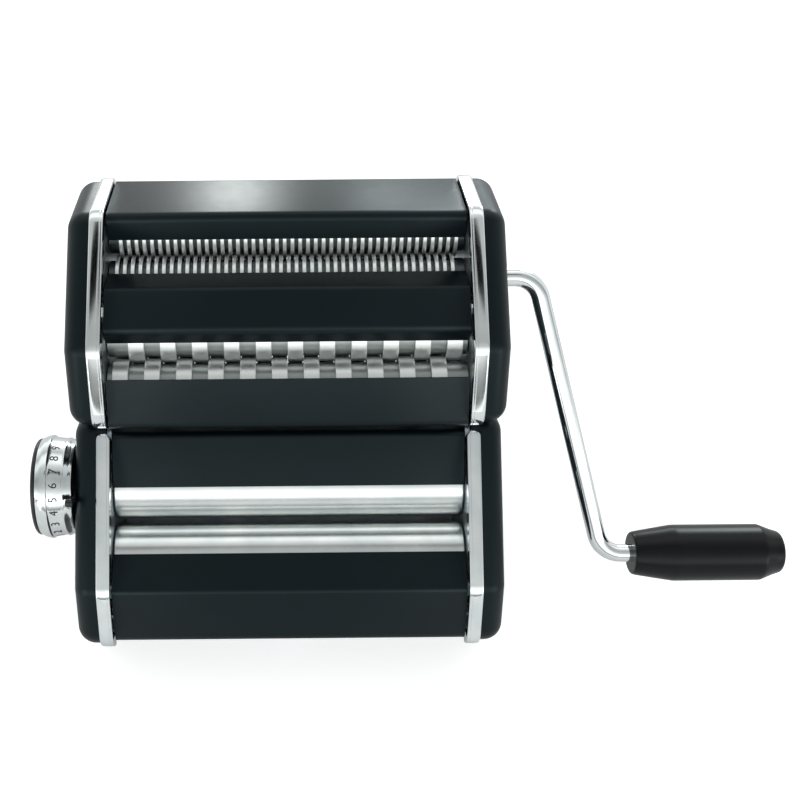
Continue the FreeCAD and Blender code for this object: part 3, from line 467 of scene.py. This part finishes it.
# each cover: its name, body, outline, rim, crank holes in the right one, and holes in both
COVERS = [
    ("", "machine", MACHINE_SIDE, machine_rim, ["front_roller_spin"],
     [(joint_line("knob_turn"), SHAFT_HOLE), ((-36.0, 22.0), SCREW_HOLE), ((34.0, 38.0), SCREW_HOLE)]),
    ("cutter_", "cutter_unit", CUTTER_SIDE, cutter_rim, ["wide_drive", "fine_drive"],
     [((62.0, 100.0), SCREW_HOLE), ((112.0, 112.0), SCREW_HOLE)]),
]
for name, side in SIDES:
    for unit_name, body, outline, rim, cranks, holes in COVERS:
        shapes = [cover_shell(side, outline), cover_rim(side, rim)]
        cover = make_piece(f"{unit_name}{name}_side_cover", shapes, black_coat, body,
                           [f"{unit_name}{name}_cover"])
        sockets = [(joint_line(crank), CRANK_HOLE) for crank in cranks] if side > 0 else []
        cut_away(cover, [drill(side, *hole) for hole in sockets + holes])

# ---------------------------------------------------------------- bright edge trims

# A pressed steel strip, 6 mm wide and chrome plated, runs over the edge of each side frame and
# stands out over the covers. It is gently crowned, with a fine groove beside a narrow inner lip.

TRIM_START, TRIM_WIDTH, TRIM_DEPTH, TRIM_RISE = 75.9, 6.0, 3.0, 1.6
CUTTER_TRIM_END = 13
# the strip's section, from its inner edge at -1 to its outer edge at 1, in mm below the crown
SECTION_PLACES = [-1, -0.985, -0.95, -0.88, -0.76, -0.62, -0.575, -0.55, -0.525, -0.48, -0.3, -0.05, 0.25,
                  0.5, 0.7, 0.84, 0.92, 0.97, 0.995, 1]
SECTION_DROPS = [0.95, 0.62, 0.33, 0.12, 0.02, 0.03, 0.07, 0.16, 0.07, 0.03, 0.01, 0, 0.02,
                 0.07, 0.15, 0.26, 0.4, 0.6, 0.85, 1.1]


def strip_surface(side, path, round_start=False):
    """A strip of the trim's section carried along a path. At a round end its width follows a half
    circle, the root of the half width squared less the distance to that circle's middle squared."""
    places, lefts = rounded_path(path, [0, *[CORNER] * (len(path) - 2), 0])
    places = places - lefts * TRIM_RISE
    lengths = np.concatenate([[0], np.cumsum(np.linalg.norm(np.diff(places, axis=0), axis=1))])
    half = TRIM_WIDTH / 2
    stations = lengths
    if round_start:
        swing = np.linspace(0, math.pi / 2, 14)
        stations = np.concatenate([half * (1 - np.cos(swing)), lengths[lengths > half + 0.1]])
    track = np.stack([np.interp(stations, lengths, column) for column in (*places.T, *lefts.T)], axis=1)
    short = np.maximum(half - stations, 0) if round_start else np.zeros(len(stations))
    spread = np.sqrt(np.maximum(half ** 2 - short ** 2, 1e-6))
    width = spread[:, None] * np.array(SECTION_PLACES)
    bevel = 0.9 * np.maximum(1 - spread / half, 0)[:, None] ** 2
    drop = np.array(SECTION_DROPS) + bevel
    x = side * (TRIM_START + half + width)
    top = track[:, None, :2] + drop[:, :, None] * track[:, None, 2:]
    foot = track[:, None, :2] + (TRIM_DEPTH + TRIM_RISE) * track[:, None, 2:]
    top = np.concatenate([x[:, :, None], top], axis=2)
    foot = np.concatenate([x[:, [0, -1], None], np.repeat(foot, 2, axis=1)], axis=2)
    return surface(np.concatenate([foot[:, :1], top, foot[:, 1:]], axis=1), around=True, ends=True)


# polished chrome plate: a mirror, with wiping marks and a faint waviness 4 mm long
chrome = finish("polished_chrome_plate", "#E2E5E6", 0.07, 1.0, tint=((11, 11, 2), "#DBDFE1", "#E9EBEC"),
                rub=((1.2, 7, 4), 0.04, 0.13), relief=((4, 4, 1), 0.002))
machine_trim = [upper_end, MACHINE_SIDE[5], MACHINE_SIDE[0], foot_end]
cutter_trim = [toward(CUTTER_SIDE[4], CUTTER_SIDE[3], CUTTER_TRIM_END), *CUTTER_SIDE[4:], CUTTER_SIDE[0],
               toward(CUTTER_SIDE[0], CUTTER_SIDE[1], CUTTER_TRIM_END)]
for name, side in SIDES:
    make_piece(f"{name}_edge_trim", [strip_surface(side, machine_trim, round_start=True)],
               chrome, "machine", [f"{name}_trim"], crease=60.0)
    make_piece(f"cutter_{name}_edge_trim", [strip_surface(side, cutter_trim)],
               chrome, "cutter_unit", [f"cutter_{name}_trim"], crease=60.0)

# ---------------------------------------------------------------- black panels

# Folded steel sheets, 1 mm thick, close the machine and the cutter unit between the trims.
# They are coated like the covers and lie just below their edges, so the trims stand out.

PANEL_HALF, PANEL_SHEET, PANEL_RECESS, PANEL_BEND = 75.3, 1.0, 0.4, 3.0
EDGE_BREAK, EDGE_THIN = 0.15, 0.7


def inset(outline, distance):
    """A closed anticlockwise outline with every run moved inwards and its corners mitred."""
    moved = []
    for i, corner in enumerate(outline):
        before = unit(np.subtract(corner, outline[i - 1]))
        after = unit(np.subtract(outline[(i + 1) % len(outline)], corner))
        middle_way = left_of(before) + left_of(after)
        moved.append(tuple(np.array(corner) + middle_way * distance / (1 + np.dot(before, after))))
    return moved


def folded_sheet(path):
    """A sheet by the middle of its thickness: its two faces lie half the thickness to each side
    of the path, and every row of the grid is that closed section at one X."""
    places, lefts = rounded_path(path, [0, *[PANEL_BEND] * (len(path) - 2), 0], steps=8)
    half = PANEL_SHEET / 2
    section = np.concatenate([places + lefts * half, (places - lefts * half)[::-1]])
    stations = [-PANEL_HALF, -PANEL_HALF + EDGE_BREAK, PANEL_HALF - EDGE_BREAK, PANEL_HALF]
    grid = np.array([np.column_stack([np.full(len(section), x), section]) for x in stations])
    middle_line = np.concatenate([places, places[::-1]])
    grid[[0, -1], :, 1:] = middle_line + (grid[[0, -1], :, 1:] - middle_line) * EDGE_THIN
    return surface(grid, around=True, ends=True)


panel_depth = PANEL_RECESS + PANEL_SHEET / 2
machine_line, cutter_line = inset(MACHINE_SIDE, panel_depth), inset(CUTTER_SIDE, panel_depth)
shelf_edge = toward(machine_line[4], machine_line[5], 5.0)
PANELS = {
    "front_panel": ("machine", [(-27.5, 61.6), machine_line[5], machine_line[0], (-50.0, 31.5)]),
    "rear_panel": ("machine", [(-3.2, 76.6), shelf_edge, machine_line[3], (machine_line[2][0], 5.6)]),
    "cutter_rear_panel": (
        "cutter_unit", [(78.2, 143.6), cutter_line[5], cutter_line[4], cutter_line[3], (112.0, 95.0)]),
    "cutter_middle_panel": ("cutter_unit", [(65.6, 135.6), (53.3, 140.3), (36.8, 133.1), (37.4, 125.6)]),
    "cutter_front_panel": ("cutter_unit", [(23.6, 117.9), cutter_line[0], (44.0, 87.3)]),
}
for name, (body, path) in PANELS.items():
    make_piece(f"{name}_sheet", [folded_sheet(path)], black_coat, body, [name], crease=50.0)

# ---------------------------------------------------------------- dough rollers

# Two anodised aluminium rollers, 29 mm across and turned smooth, roll the dough. The front one
# ends in the crank's socket, and both carry a steel gear under the right cover.

SOCKET_END, SOCKET_FLOOR, SOCKET_RADIUS, SOCKET_BORE = 90.5, 77.0, 6.0, 4.1
SLOT_WIDTH, SLOT_DEPTH, SLOT_REACH = 2.6, 6.0, 8.0
SOCKET_CHAMFER, MOUTH_CHAMFER = 0.4, 0.3
ROLLER_HALF, ROLLER_RADIUS, ROLLER_EDGE = 75.4, 14.5, 0.5
SHAFT_END = 79.5
REAR_BORE, REAR_SLEEVE, REAR_END = 8.1, 9.5, 87.5


def turned_profile(profile, centre, turns=72):
    """A surface of revolution about a line along X: each row is a circle of (X, radius)."""
    angles = np.linspace(0, 2 * math.pi, turns, endpoint=False)
    profile = np.asarray(profile, float)
    x = np.broadcast_to(profile[:, :1], (len(profile), turns))
    y = centre[0] + profile[:, 1:] * np.cos(angles)
    z = centre[1] + profile[:, 1:] * np.sin(angles)
    return surface(np.stack([x, y, z], axis=2), around=True)


def socket_profile(start):
    """A crank socket from a shoulder outwards: the tube, its chamfered mouth and its bore."""
    return [
        (start, SOCKET_RADIUS), (SOCKET_END - SOCKET_CHAMFER, SOCKET_RADIUS),
        (SOCKET_END, SOCKET_RADIUS - SOCKET_CHAMFER), (SOCKET_END, SOCKET_BORE + MOUTH_CHAMFER),
        (SOCKET_END - MOUTH_CHAMFER, SOCKET_BORE), (SOCKET_FLOOR, SOCKET_BORE), (SOCKET_FLOOR, 0.0),
    ]


def cut_slot(piece, centre):
    """Cuts the cross slot for the crank's ears into a socket's mouth."""
    sides = [(-1, -1), (1, -1), (1, 1), (-1, 1)]
    cut_away(piece, [surface(np.array([
        [(x, centre[0] + y * SLOT_WIDTH / 2, centre[1] + z * SLOT_REACH) for y, z in sides]
        for x in (SOCKET_END - SLOT_DEPTH, SOCKET_END + 4.0)
    ]), around=True, ends=True)])


# turned and anodised aluminium: pale satin, with fine rings round the roller
roller_rings = (0.22, 40, 2)
roller_metal = finish("turned_anodised_aluminium", "#DCDFE0", 0.2, 1.0,
                      tint=((16, 16, 3), "#DADEDE", "#E9EBEA"), rub=(roller_rings, 0.21, 0.28),
                      relief=(roller_rings, 0.0004))
front_axis, rear_axis = joint_line("front_roller_spin"), joint_line("rear_roller_spin")
barrel = [(ROLLER_HALF - ROLLER_EDGE, ROLLER_RADIUS), (ROLLER_HALF, ROLLER_RADIUS - ROLLER_EDGE)]
left_barrel = [(-x, radius) for x, radius in barrel[::-1]]
front_profile = [(-SHAFT_END, 0.0), (-SHAFT_END, SOCKET_RADIUS), (-ROLLER_HALF, SOCKET_RADIUS)]
front_profile += left_barrel + barrel + socket_profile(ROLLER_HALF)
front_roller = make_piece("front_dough_roller", [turned_profile(front_profile, front_axis)], roller_metal,
                          "front_roller", ["front_roller"])
cut_slot(front_roller, front_axis)
rear_profile = [(-ROLLER_HALF, REAR_BORE), *left_barrel, *barrel, (ROLLER_HALF, REAR_SLEEVE),
                (REAR_END, REAR_SLEEVE), (REAR_END, REAR_BORE), (-ROLLER_HALF, REAR_BORE)]
make_piece("rear_dough_roller", [turned_profile(rear_profile, rear_axis)], roller_metal,
           "rear_roller", ["rear_roller"])

# ---------------------------------------------------------------- gears, bushes and scrapers

# Oiled steel gears under the covers drive each pair of rollers. White nylon bushes carry the
# shafts in the side frames, and nylon blades below the rollers scrape the dough off them.

# hobbed steel: grey, with fine cutter lines and an oily sheen
hobbed_steel = finish("hobbed_steel", "#7E8082", 0.38, 1.0, tint=((3, 3, 4), "#6B6D6F", "#8F9193"),
                      relief=((0.3, 4, 2), 0.01))
# moulded natural nylon: creamy, silky and slightly translucent
nylon = finish("natural_nylon", "#DAD7CB", 0.42, tint=((8, 8, 3), "#D3CFC2", "#E2DFD5"),
               relief=((0.6, 0.6, 3), 0.01), Subsurface_Weight=0.15)
# zinc-plated screws: bright, and faintly yellow in places
plated_screw = finish("zinc_plated_screw", "#AEB0AE", 0.3, 1.0, tint=((2.5, 2.5, 3), "#9EA2A3", "#BDBDB6"),
                      relief=((0.4, 0.4, 2), 0.006))
# black oxide screws, as on the covers: dark grey with a dull metal sheen
black_screw = finish("black_oxide_screw", "#1B1C1E", 0.36, 0.6, tint=((1.5, 1.5, 3), "#151618", "#242628"),
                     relief=((0.4, 0.4, 2), 0.008))
dress(hobbed_steel, "front_gear", "rear_gear", "wide_lower_gear", "wide_upper_gear", "fine_lower_gear",
      "fine_upper_gear")
dress(nylon, "frame_bushes", "cutter_bushes", "roller_bushes", "front_scraper", "rear_scraper")
dress(plated_screw, "frame_screws", "cutter_frame_screws", "shaft_screw")
dress(black_screw, "cover_screws", "cutter_cover_screws")

# ---------------------------------------------------------------- cutters and combs

# Each cutter is a bright aluminium bar turned into rings. A pair's rings reach into each
# other's grooves: 6.65 mm wide for the broad strands, and 1.65 mm for the fine ones. Thin
# steel combs below them lift the strands out.

CUTTER_RADIUS, JOURNAL, STRIP, FINE_RING = 11.0, 4.0, 6.65, 1.65
JOURNAL_LEFT, JOURNAL_RIGHT = 85.0, 80.0
GROOVE_FLOOR = CUTTER_RADIUS - 2.4
STRIPS, FINE_RINGS = 22, 44
RING_EDGE = 0.12
CUTTER_ANGLE, COMB_TURN, FINGER_TURN, FINGER_ROWS = 35.2, 65.0, 42, 9
COMB_HALF, COMB_INNER, COMB_OUTER, COMB_SHEET = 75.9, 10.2, 15, 1.0
wide_first, fine_first = -STRIPS / 2 * STRIP, -FINE_RINGS * FINE_RING
# each pair: the width of a ring, its place on the lower cutter, rings, play, turns, and the colour of the
# painted shade in its grooves
PAIRS = {
    "wide": (STRIP, wide_first, STRIPS // 2, 0.05, 64, "#A9ADAB"),
    "fine": (FINE_RING, fine_first, FINE_RINGS, 0.04, 48, "#5E6365"),
}


def ringed_bar(first, width, count, play, driven):
    """The profile of a cutter: count rings of one width, that far apart, with broken edges."""
    profile = [(-JOURNAL_LEFT, 0.0), (-JOURNAL_LEFT, JOURNAL), (-ROLLER_HALF, JOURNAL),
               (-ROLLER_HALF, GROOVE_FLOOR)]
    for number in range(count):
        low = max(first + 2 * width * number + play, -ROLLER_HALF + 0.01)
        high = min(first + 2 * width * number + width - play, ROLLER_HALF - 0.01)
        rim = CUTTER_RADIUS - RING_EDGE
        profile += [(low, GROOVE_FLOOR), (low, rim), (low + RING_EDGE, CUTTER_RADIUS)]
        profile += [(high - RING_EDGE, CUTTER_RADIUS), (high, rim), (high, GROOVE_FLOOR)]
    profile.append((ROLLER_HALF, GROOVE_FLOOR))
    if driven:
        return profile + socket_profile(ROLLER_HALF)
    return profile + [(ROLLER_HALF, JOURNAL), (JOURNAL_RIGHT, JOURNAL), (JOURNAL_RIGHT, 0.0)]


def turned_bright(name, axis, groove_shade_colour):
    """Bright turned aluminium with machining rings, and painted shade in the grooves: the colour darkens from
    the rim down to the groove floor, by the distance from the cutter's axis."""
    rings = (0.16, 30, 2)
    material = finish(f"{name}_turned_aluminium_groove_shaded", "#C9CDCE", 0.2, 1.0, rub=(rings, 0.34, 0.46),
                      relief=(rings, 0.0008))
    tree = material.node_tree
    place = add(tree, "TexCoord").outputs["Object"]
    on_axis = (0.0, axis[0] * MM, axis[1] * MM)
    from_axis = add(tree, "VectorMath", {0: place, 1: on_axis}, operation="SUBTRACT")
    across = add(tree, "VectorMath", {0: from_axis, 1: (0.0, 1.0, 1.0)}, operation="MULTIPLY")
    radius = add(tree, "VectorMath", {0: across}, operation="LENGTH").outputs["Value"]
    # painted shade: the colour runs from the darker groove shade colour at the floor to bright at the rim, by
    # the distance from the axis
    limits = {"Value": radius, "From Min": (GROOVE_FLOOR + 0.6) * MM, "From Max": (CUTTER_RADIUS - 0.3) * MM}
    colours = [(TINT_LOW, linear(groove_shade_colour)), (TINT_HIGH, linear("#F4F6F4"))]
    ramp = add(tree, "ValToRGB", {"Fac": add(tree, "MapRange", limits)}, stops=colours)
    tree.links.new(ramp.outputs[0], tree.nodes["Principled BSDF"].inputs["Base Color"])
    return material


def comb_strip(axis, turn):
    """The flat strip of a comb, in the plane at one turn round its cutter's axis."""
    out = np.array([math.cos(math.radians(turn)), math.sin(math.radians(turn))])
    half = COMB_SHEET / 2
    section = [(COMB_INNER, -half), (COMB_OUTER, -half), (COMB_OUTER, half), (COMB_INNER, half)]
    corners = [np.array(axis) + reach * out + rise * left_of(out) for reach, rise in section]
    grid = [[(x, *corner) for corner in corners] for x in (-COMB_HALF, COMB_HALF)]
    return surface(np.array(grid), around=True, ends=True)


def comb_fingers(axis, turn, way, first, width, count):
    """Curved fingers that lie in the grooves, from the strip back to just behind the place where
    the two cutters meet: each is a rectangle of X and radius swept round the cutter's axis."""
    swing = np.radians(turn + way * np.linspace(0, FINGER_TURN, FINGER_ROWS))[:, None]
    low_radius, high_radius = GROOVE_FLOOR + 0.3, CUTTER_RADIUS - 0.4
    radius = np.array([low_radius, low_radius, high_radius, high_radius])
    play = 0.04 * width
    fingers = []
    for number in range(count):
        low = first + 2 * width * number
        edges = [low + play, low + width - play, low + width - play, low + play]
        x = np.broadcast_to(edges, (FINGER_ROWS, 4))
        grid = np.stack([x, axis[0] + radius * np.cos(swing), axis[1] + radius * np.sin(swing)], axis=2)
        fingers.append(surface(grid, around=True, ends=True))
    return fingers


for kind, (width, first, count, play, turns, groove_shade_colour) in PAIRS.items():
    for place, start, joint in (("lower", first, "drive"), ("upper", first + width, "upper_spin")):
        name, axis, driven = f"{kind}_{place}", joint_line(f"{kind}_{joint}"), place == "lower"
        bar = turned_profile(ringed_bar(start, width, count, play, driven), axis, turns)
        cutter = make_piece(f"{name}_cutter_bar", [bar], turned_bright(name, axis, groove_shade_colour), name,
                            [f"{name}_cutter"], crease=30.0)
        if driven:
            cut_slot(cutter, axis)
for kind, (width, first, count, *_) in PAIRS.items():
    lower, upper = joint_line(f"{kind}_drive"), joint_line(f"{kind}_upper_spin")
    below, above = CUTTER_ANGLE - COMB_TURN, CUTTER_ANGLE + 180 + COMB_TURN
    make_piece(f"{kind}_strand_combs", [
        comb_strip(lower, below), *comb_fingers(lower, below, 1, first + width, width, count - 1),
        comb_strip(upper, above), *comb_fingers(upper, above, -1, first, width, count),
    ], sheet_steel, "cutter_unit", [f"{kind}_combs"])

# ---------------------------------------------------------------- dial knob

# A turned brass knob, satin chrome plated, with a shallow band in which the numbers 0 to 9
# are printed in black. A black moulded cap closes its end, and a small black pointer on the
# cover shows the setting. A spring on the shaft keeps it pulled in.

KNOB_RADIUS, KNOB_INNER, KNOB_OUTER = 23.0, 92.8, 108.4
BAND_INNER, BAND_OUTER = KNOB_INNER + 4.4, KNOB_OUTER - 5.3
BAND_DEPTH, BAND_RISE = 1.72, 0.8
KNOB_WEB, KNOB_HOLLOW, KNOB_BORE = KNOB_INNER + 3.2, 10.0, 4.1
DIAL_STEP, POINTER_TURN, POINTER_REACH = 16.3636, 136.8, 26.0
POINTER_FOOT, POINTER_END = 91.2, 94.4
ARM_TOP, ARM_HALF, ARM_ROOT = 92.3, 1.2, 14.0
NUMBER_SIZE, INK = 5.2, 0.05
knob_axis = joint_line("knob_turn")
pointer_way = np.array([math.cos(math.radians(POINTER_TURN)), math.sin(math.radians(POINTER_TURN))])


def smooth_profile(corners, steps=6):
    """A profile through rounded corners: each corner is replaced by a short quadratic curve
    between the points a third of the way to its neighbours."""
    corners = np.asarray(corners, float)
    blend = np.linspace(0, 1, steps)[:, None]
    points = [corners[:1]]
    for before, corner, after in zip(corners, corners[1:], corners[2:]):
        start, end = corner + (before - corner) / 3, corner + (after - corner) / 3
        points.append((1 - blend) ** 2 * start + 2 * blend * (1 - blend) * corner + blend ** 2 * end)
    return np.concatenate([*points, corners[-1:]])


def dial_number(digit):
    """A flat numeral wrapped on the band: its height runs along the axis with its top outwards,
    and its width becomes a turn, width over radius, about the digit's own place on the dial."""
    text = bpy.data.curves.new(f"number_{digit}", "FONT")
    text.body, text.size, text.align_x, text.align_y = str(digit), NUMBER_SIZE, "CENTER", "CENTER"
    text.resolution_u, text.extrude = 3, INK
    item = placed(text.name, text)
    data = settled_mesh(item)
    bpy.data.objects.remove(item)
    shape = bmesh.new()
    shape.from_mesh(data)
    bmesh.ops.remove_doubles(shape, verts=shape.verts, dist=0.001)
    bmesh.ops.triangulate(shape, faces=shape.faces)
    bmesh.ops.subdivide_edges(shape, edges=[e for e in shape.edges if e.calc_length() > 0.8], cuts=2)
    bmesh.ops.triangulate(shape, faces=shape.faces)
    points = np.array([v.co[:] for v in shape.verts])
    faces = [[v.index for v in face.verts] for face in shape.faces]
    shape.free()
    bpy.data.meshes.remove(data)
    along_axis = (BAND_INNER + BAND_OUTER) / 2 + 0.3 + points[:, 1]
    slope = (along_axis - BAND_INNER) / (BAND_OUTER - BAND_INNER)
    radius = KNOB_RADIUS - BAND_DEPTH + BAND_RISE * slope + 0.06 + points[:, 2]
    turn = math.radians(POINTER_TURN - (digit - 5) * DIAL_STEP) - points[:, 0] / radius
    y, z = knob_axis[0] + radius * np.cos(turn), knob_axis[1] + radius * np.sin(turn)
    return np.column_stack([-along_axis, y, z]), faces


def dial_line(start, end, half_width):
    """A short line along the knob beside the 5: it follows the profile, a little above it."""
    x = np.linspace(-start, -end, 9)
    radius = np.interp(-x, -knob_outside[:, 0], knob_outside[:, 1]) + 0.02
    corners = [(-half_width, 0.0), (half_width, 0.0), (half_width, INK), (-half_width, INK)]
    middle = np.array(knob_axis)
    rows = [middle + (radius[:, None] + rise) * pointer_way + shift * left_of(pointer_way)
            for shift, rise in corners]
    grid = np.stack([np.column_stack([x, row]) for row in rows], axis=1)
    return surface(grid, around=True, ends=True)


def pointer_arm():
    """The pointer's flat arm, from its root on the cover under the knob out to the nub: a box
    along the pointer's direction."""
    low, high = -POINTER_FOOT, -ARM_TOP
    section = [(low, -ARM_HALF), (high, -ARM_HALF), (high, ARM_HALF), (low, ARM_HALF)]
    middle = np.array(knob_axis)
    return surface(np.array([
        [(x, *(middle + reach * pointer_way + shift * left_of(pointer_way))) for x, shift in section]
        for reach in (ARM_ROOT, POINTER_REACH)
    ]), around=True, ends=True)


# satin chrome plate on a turned knob: bright, with faint rings
knob_rings = (0.15, 20, 2)
satin_chrome = finish("satin_chrome_plate", "#DFE2E3", 0.13, 1.0, tint=((7, 7, 2), "#D6DADB", "#E8EAEB"),
                      rub=(knob_rings, 0.08, 0.2), relief=(knob_rings, 0.003))
# moulded black plastic, with a faint flow texture
black_plastic = finish("moulded_black_abs", "#121315", 0.34, tint=((4, 4, 3), "#121315", "#1C1E20"),
                       relief=((0.45, 0.45, 3), 0.012), Specular_IOR_Level=0.45)
# printing ink: matt black, and worn a little thin in places
printed_ink = finish("black_printing_ink", "#101112", 0.55, tint=((0.5, 0.5, 4), "#0B0C0D", "#1D1F20"))
# drawn spring wire: dark and slightly scaly
spring_wire = finish("drawn_spring_wire", "#6A6C6E", 0.34, 1.0, tint=((1.2, 1.2, 3), "#58595B", "#7C7E80"))
knob_outside = smooth_profile([
    (-KNOB_INNER, 17.0), (-KNOB_INNER, KNOB_RADIUS - 2.6), (-KNOB_INNER - 1.8, KNOB_RADIUS - 2.3),
    (-KNOB_INNER - 3.9, KNOB_RADIUS - 1.2), (-BAND_INNER, KNOB_RADIUS - BAND_DEPTH),
    (-BAND_OUTER, KNOB_RADIUS - BAND_DEPTH + BAND_RISE), (-KNOB_OUTER + 4.8, KNOB_RADIUS - 0.02),
    (-KNOB_OUTER + 2.0, KNOB_RADIUS - 0.6), (-KNOB_OUTER, KNOB_RADIUS - 1.6),
])
knob_inside = [(-KNOB_OUTER, KNOB_HOLLOW), (-KNOB_WEB, KNOB_HOLLOW), (-KNOB_WEB, KNOB_BORE),
               (-KNOB_INNER, KNOB_BORE)]
knob_loop = np.concatenate([knob_outside, knob_inside, knob_outside[:1]])
make_piece("dial_knob", [turned_profile(knob_loop, knob_axis, 120)], satin_chrome, "knob",
           ["adjusting_knob"], crease=40.0)
numbers = [dial_number(digit) for digit in range(10)]
make_piece("dial_numbers", [*numbers, dial_line(104.4, 107.4, 0.2)], printed_ink, "knob")
cap_profile = smooth_profile([
    (-KNOB_OUTER, 0.0), (-KNOB_OUTER, KNOB_RADIUS - 1.7), (-KNOB_OUTER - 1.3, KNOB_RADIUS - 1.7),
    (-KNOB_OUTER - 2.2, KNOB_RADIUS - 2.6), (-KNOB_OUTER - 2.2, 0.0),
])
make_piece("dial_cap", [turned_profile(cap_profile, knob_axis, 96)], black_plastic, "knob",
           ["knob_cap"], crease=40.0)
pointer_profile = smooth_profile([
    (-POINTER_FOOT, 0.0), (-POINTER_FOOT, 1.8), (-POINTER_END + 1.0, 1.8), (-POINTER_END, 1.4),
    (-POINTER_END, 0.0),
])
pointer = turned_profile(pointer_profile, np.array(knob_axis) + POINTER_REACH * pointer_way, 32)
make_piece("pointer_nub", [pointer, pointer_arm()], black_plastic, "machine", ["dial_pointer"],
           crease=50.0)
dress(spring_wire, "knob_spring")

# ---------------------------------------------------------------- crank

# The crank is an 8 mm steel rod with two bends, polished and chrome plated. Two ears pressed
# out of its end seat in the cross slot of a socket. The grip is moulded in matt black plastic,
# spins freely on the rod, and has a round hole at the end that the rod enters.

CRANK_RADIUS, CRANK_BEND, CRANK_TURN = 4.0, 12.0, 227.7
CRANK_START, CRANK_SHOULDER, CRANK_LEAN, CRANK_REACH = 77.5, 107.4, 34.4, 126.3
EAR_START, EAR_END, EAR_HALF, EAR_REACH = 85.0, 89.0, 1.1, 5.6
GRIP_START, GRIP_LENGTH, GRIP_RADIUS = 155.4, 67.5, 12.7
GRIP_BORE, GRIP_FLOOR, ROD_DEPTH = 4.1, 58.6, 58.0


def bent_rod(path, radii, axis, turn, radius, around=28):
    """A round rod along a path in the plane through an axis at one turn: each row of the grid is
    a circle square to the path, its two directions the path's left and the plane's normal."""
    places, lefts = rounded_path(path, radii, steps=14)
    out = np.array([0.0, math.cos(math.radians(turn)), math.sin(math.radians(turn))])
    flat = np.array([0.0, -out[2], out[1]])
    spine = np.array([0.0, *axis]) + places[:, :1] * [1, 0, 0] + places[:, 1:] * out
    sideways = lefts[:, :1] * [1, 0, 0] + lefts[:, 1:] * out
    spine, sideways = (np.concatenate([line[:1], line, line[-1:]]) for line in (spine, sideways))
    size = np.full(len(spine), radius)
    size[[0, -1]] = 0.0
    turns = np.linspace(0, 2 * math.pi, around, endpoint=False)
    ring = np.cos(turns)[None, :, None] * sideways[:, None] + np.sin(turns)[None, :, None] * flat
    return surface(spine[:, None] + ring * size[:, None, None], around=True)


crank_path = [(CRANK_START, 0.0), (CRANK_SHOULDER, 0.0), (CRANK_SHOULDER + CRANK_LEAN, CRANK_REACH),
              (GRIP_START + ROD_DEPTH, CRANK_REACH)]
fine_lower_axis = joint_line("fine_drive")
ear_section = [(-EAR_HALF, -EAR_REACH), (EAR_HALF, -EAR_REACH), (EAR_HALF, EAR_REACH), (-EAR_HALF, EAR_REACH)]
ear = np.array([[(x, y, z) for y, z in ear_section] for x in (EAR_START, EAR_END)])
ear_box = surface(ear + [0.0, *fine_lower_axis], around=True, ends=True)
rod = bent_rod(crank_path, [0, CRANK_BEND, CRANK_BEND, 0], fine_lower_axis, CRANK_TURN, CRANK_RADIUS)
make_piece("crank_arm", [rod, ear_box], chrome, "crank", ["crank_rod"])
# matt moulded plastic: near black, with a spark-eroded grain of half a millimetre
grip_grain = (0.5, 0.5, 5)
matt_grip = finish("matt_moulded_grip", "#05080A", 0.26, tint=((9, 9, 4), "#04070A", "#070A0D"),
                   rub=(grip_grain, 0.24, 0.34), relief=(grip_grain, 0.006), Specular_IOR_Level=0.2)
grip_outside = smooth_profile([
    (0.0, GRIP_BORE), (0.0, GRIP_RADIUS - 3.6), (0.8, GRIP_RADIUS - 2.9), (15.6, GRIP_RADIUS - 0.48),
    (18.6, GRIP_RADIUS), (21.6, GRIP_RADIUS), (54.5, GRIP_RADIUS), (57.5, GRIP_RADIUS),
    (59.3, GRIP_RADIUS - 0.7), (GRIP_LENGTH - 4.5, GRIP_RADIUS - 2.2), (GRIP_LENGTH - 0.6, GRIP_RADIUS - 3.4),
    (GRIP_LENGTH, GRIP_RADIUS - 5.0), (GRIP_LENGTH, 0.0),
])
grip_bottom = [(GRIP_FLOOR, 0.0), (GRIP_FLOOR, GRIP_BORE)]
grip_profile = np.concatenate([grip_bottom, grip_outside]) + [GRIP_START, 0.0]
make_piece("turning_grip", [turned_profile(grip_profile, joint_line("grip_spin"), 72)], matt_grip, "grip",
           ["crank_grip"], crease=40.0)
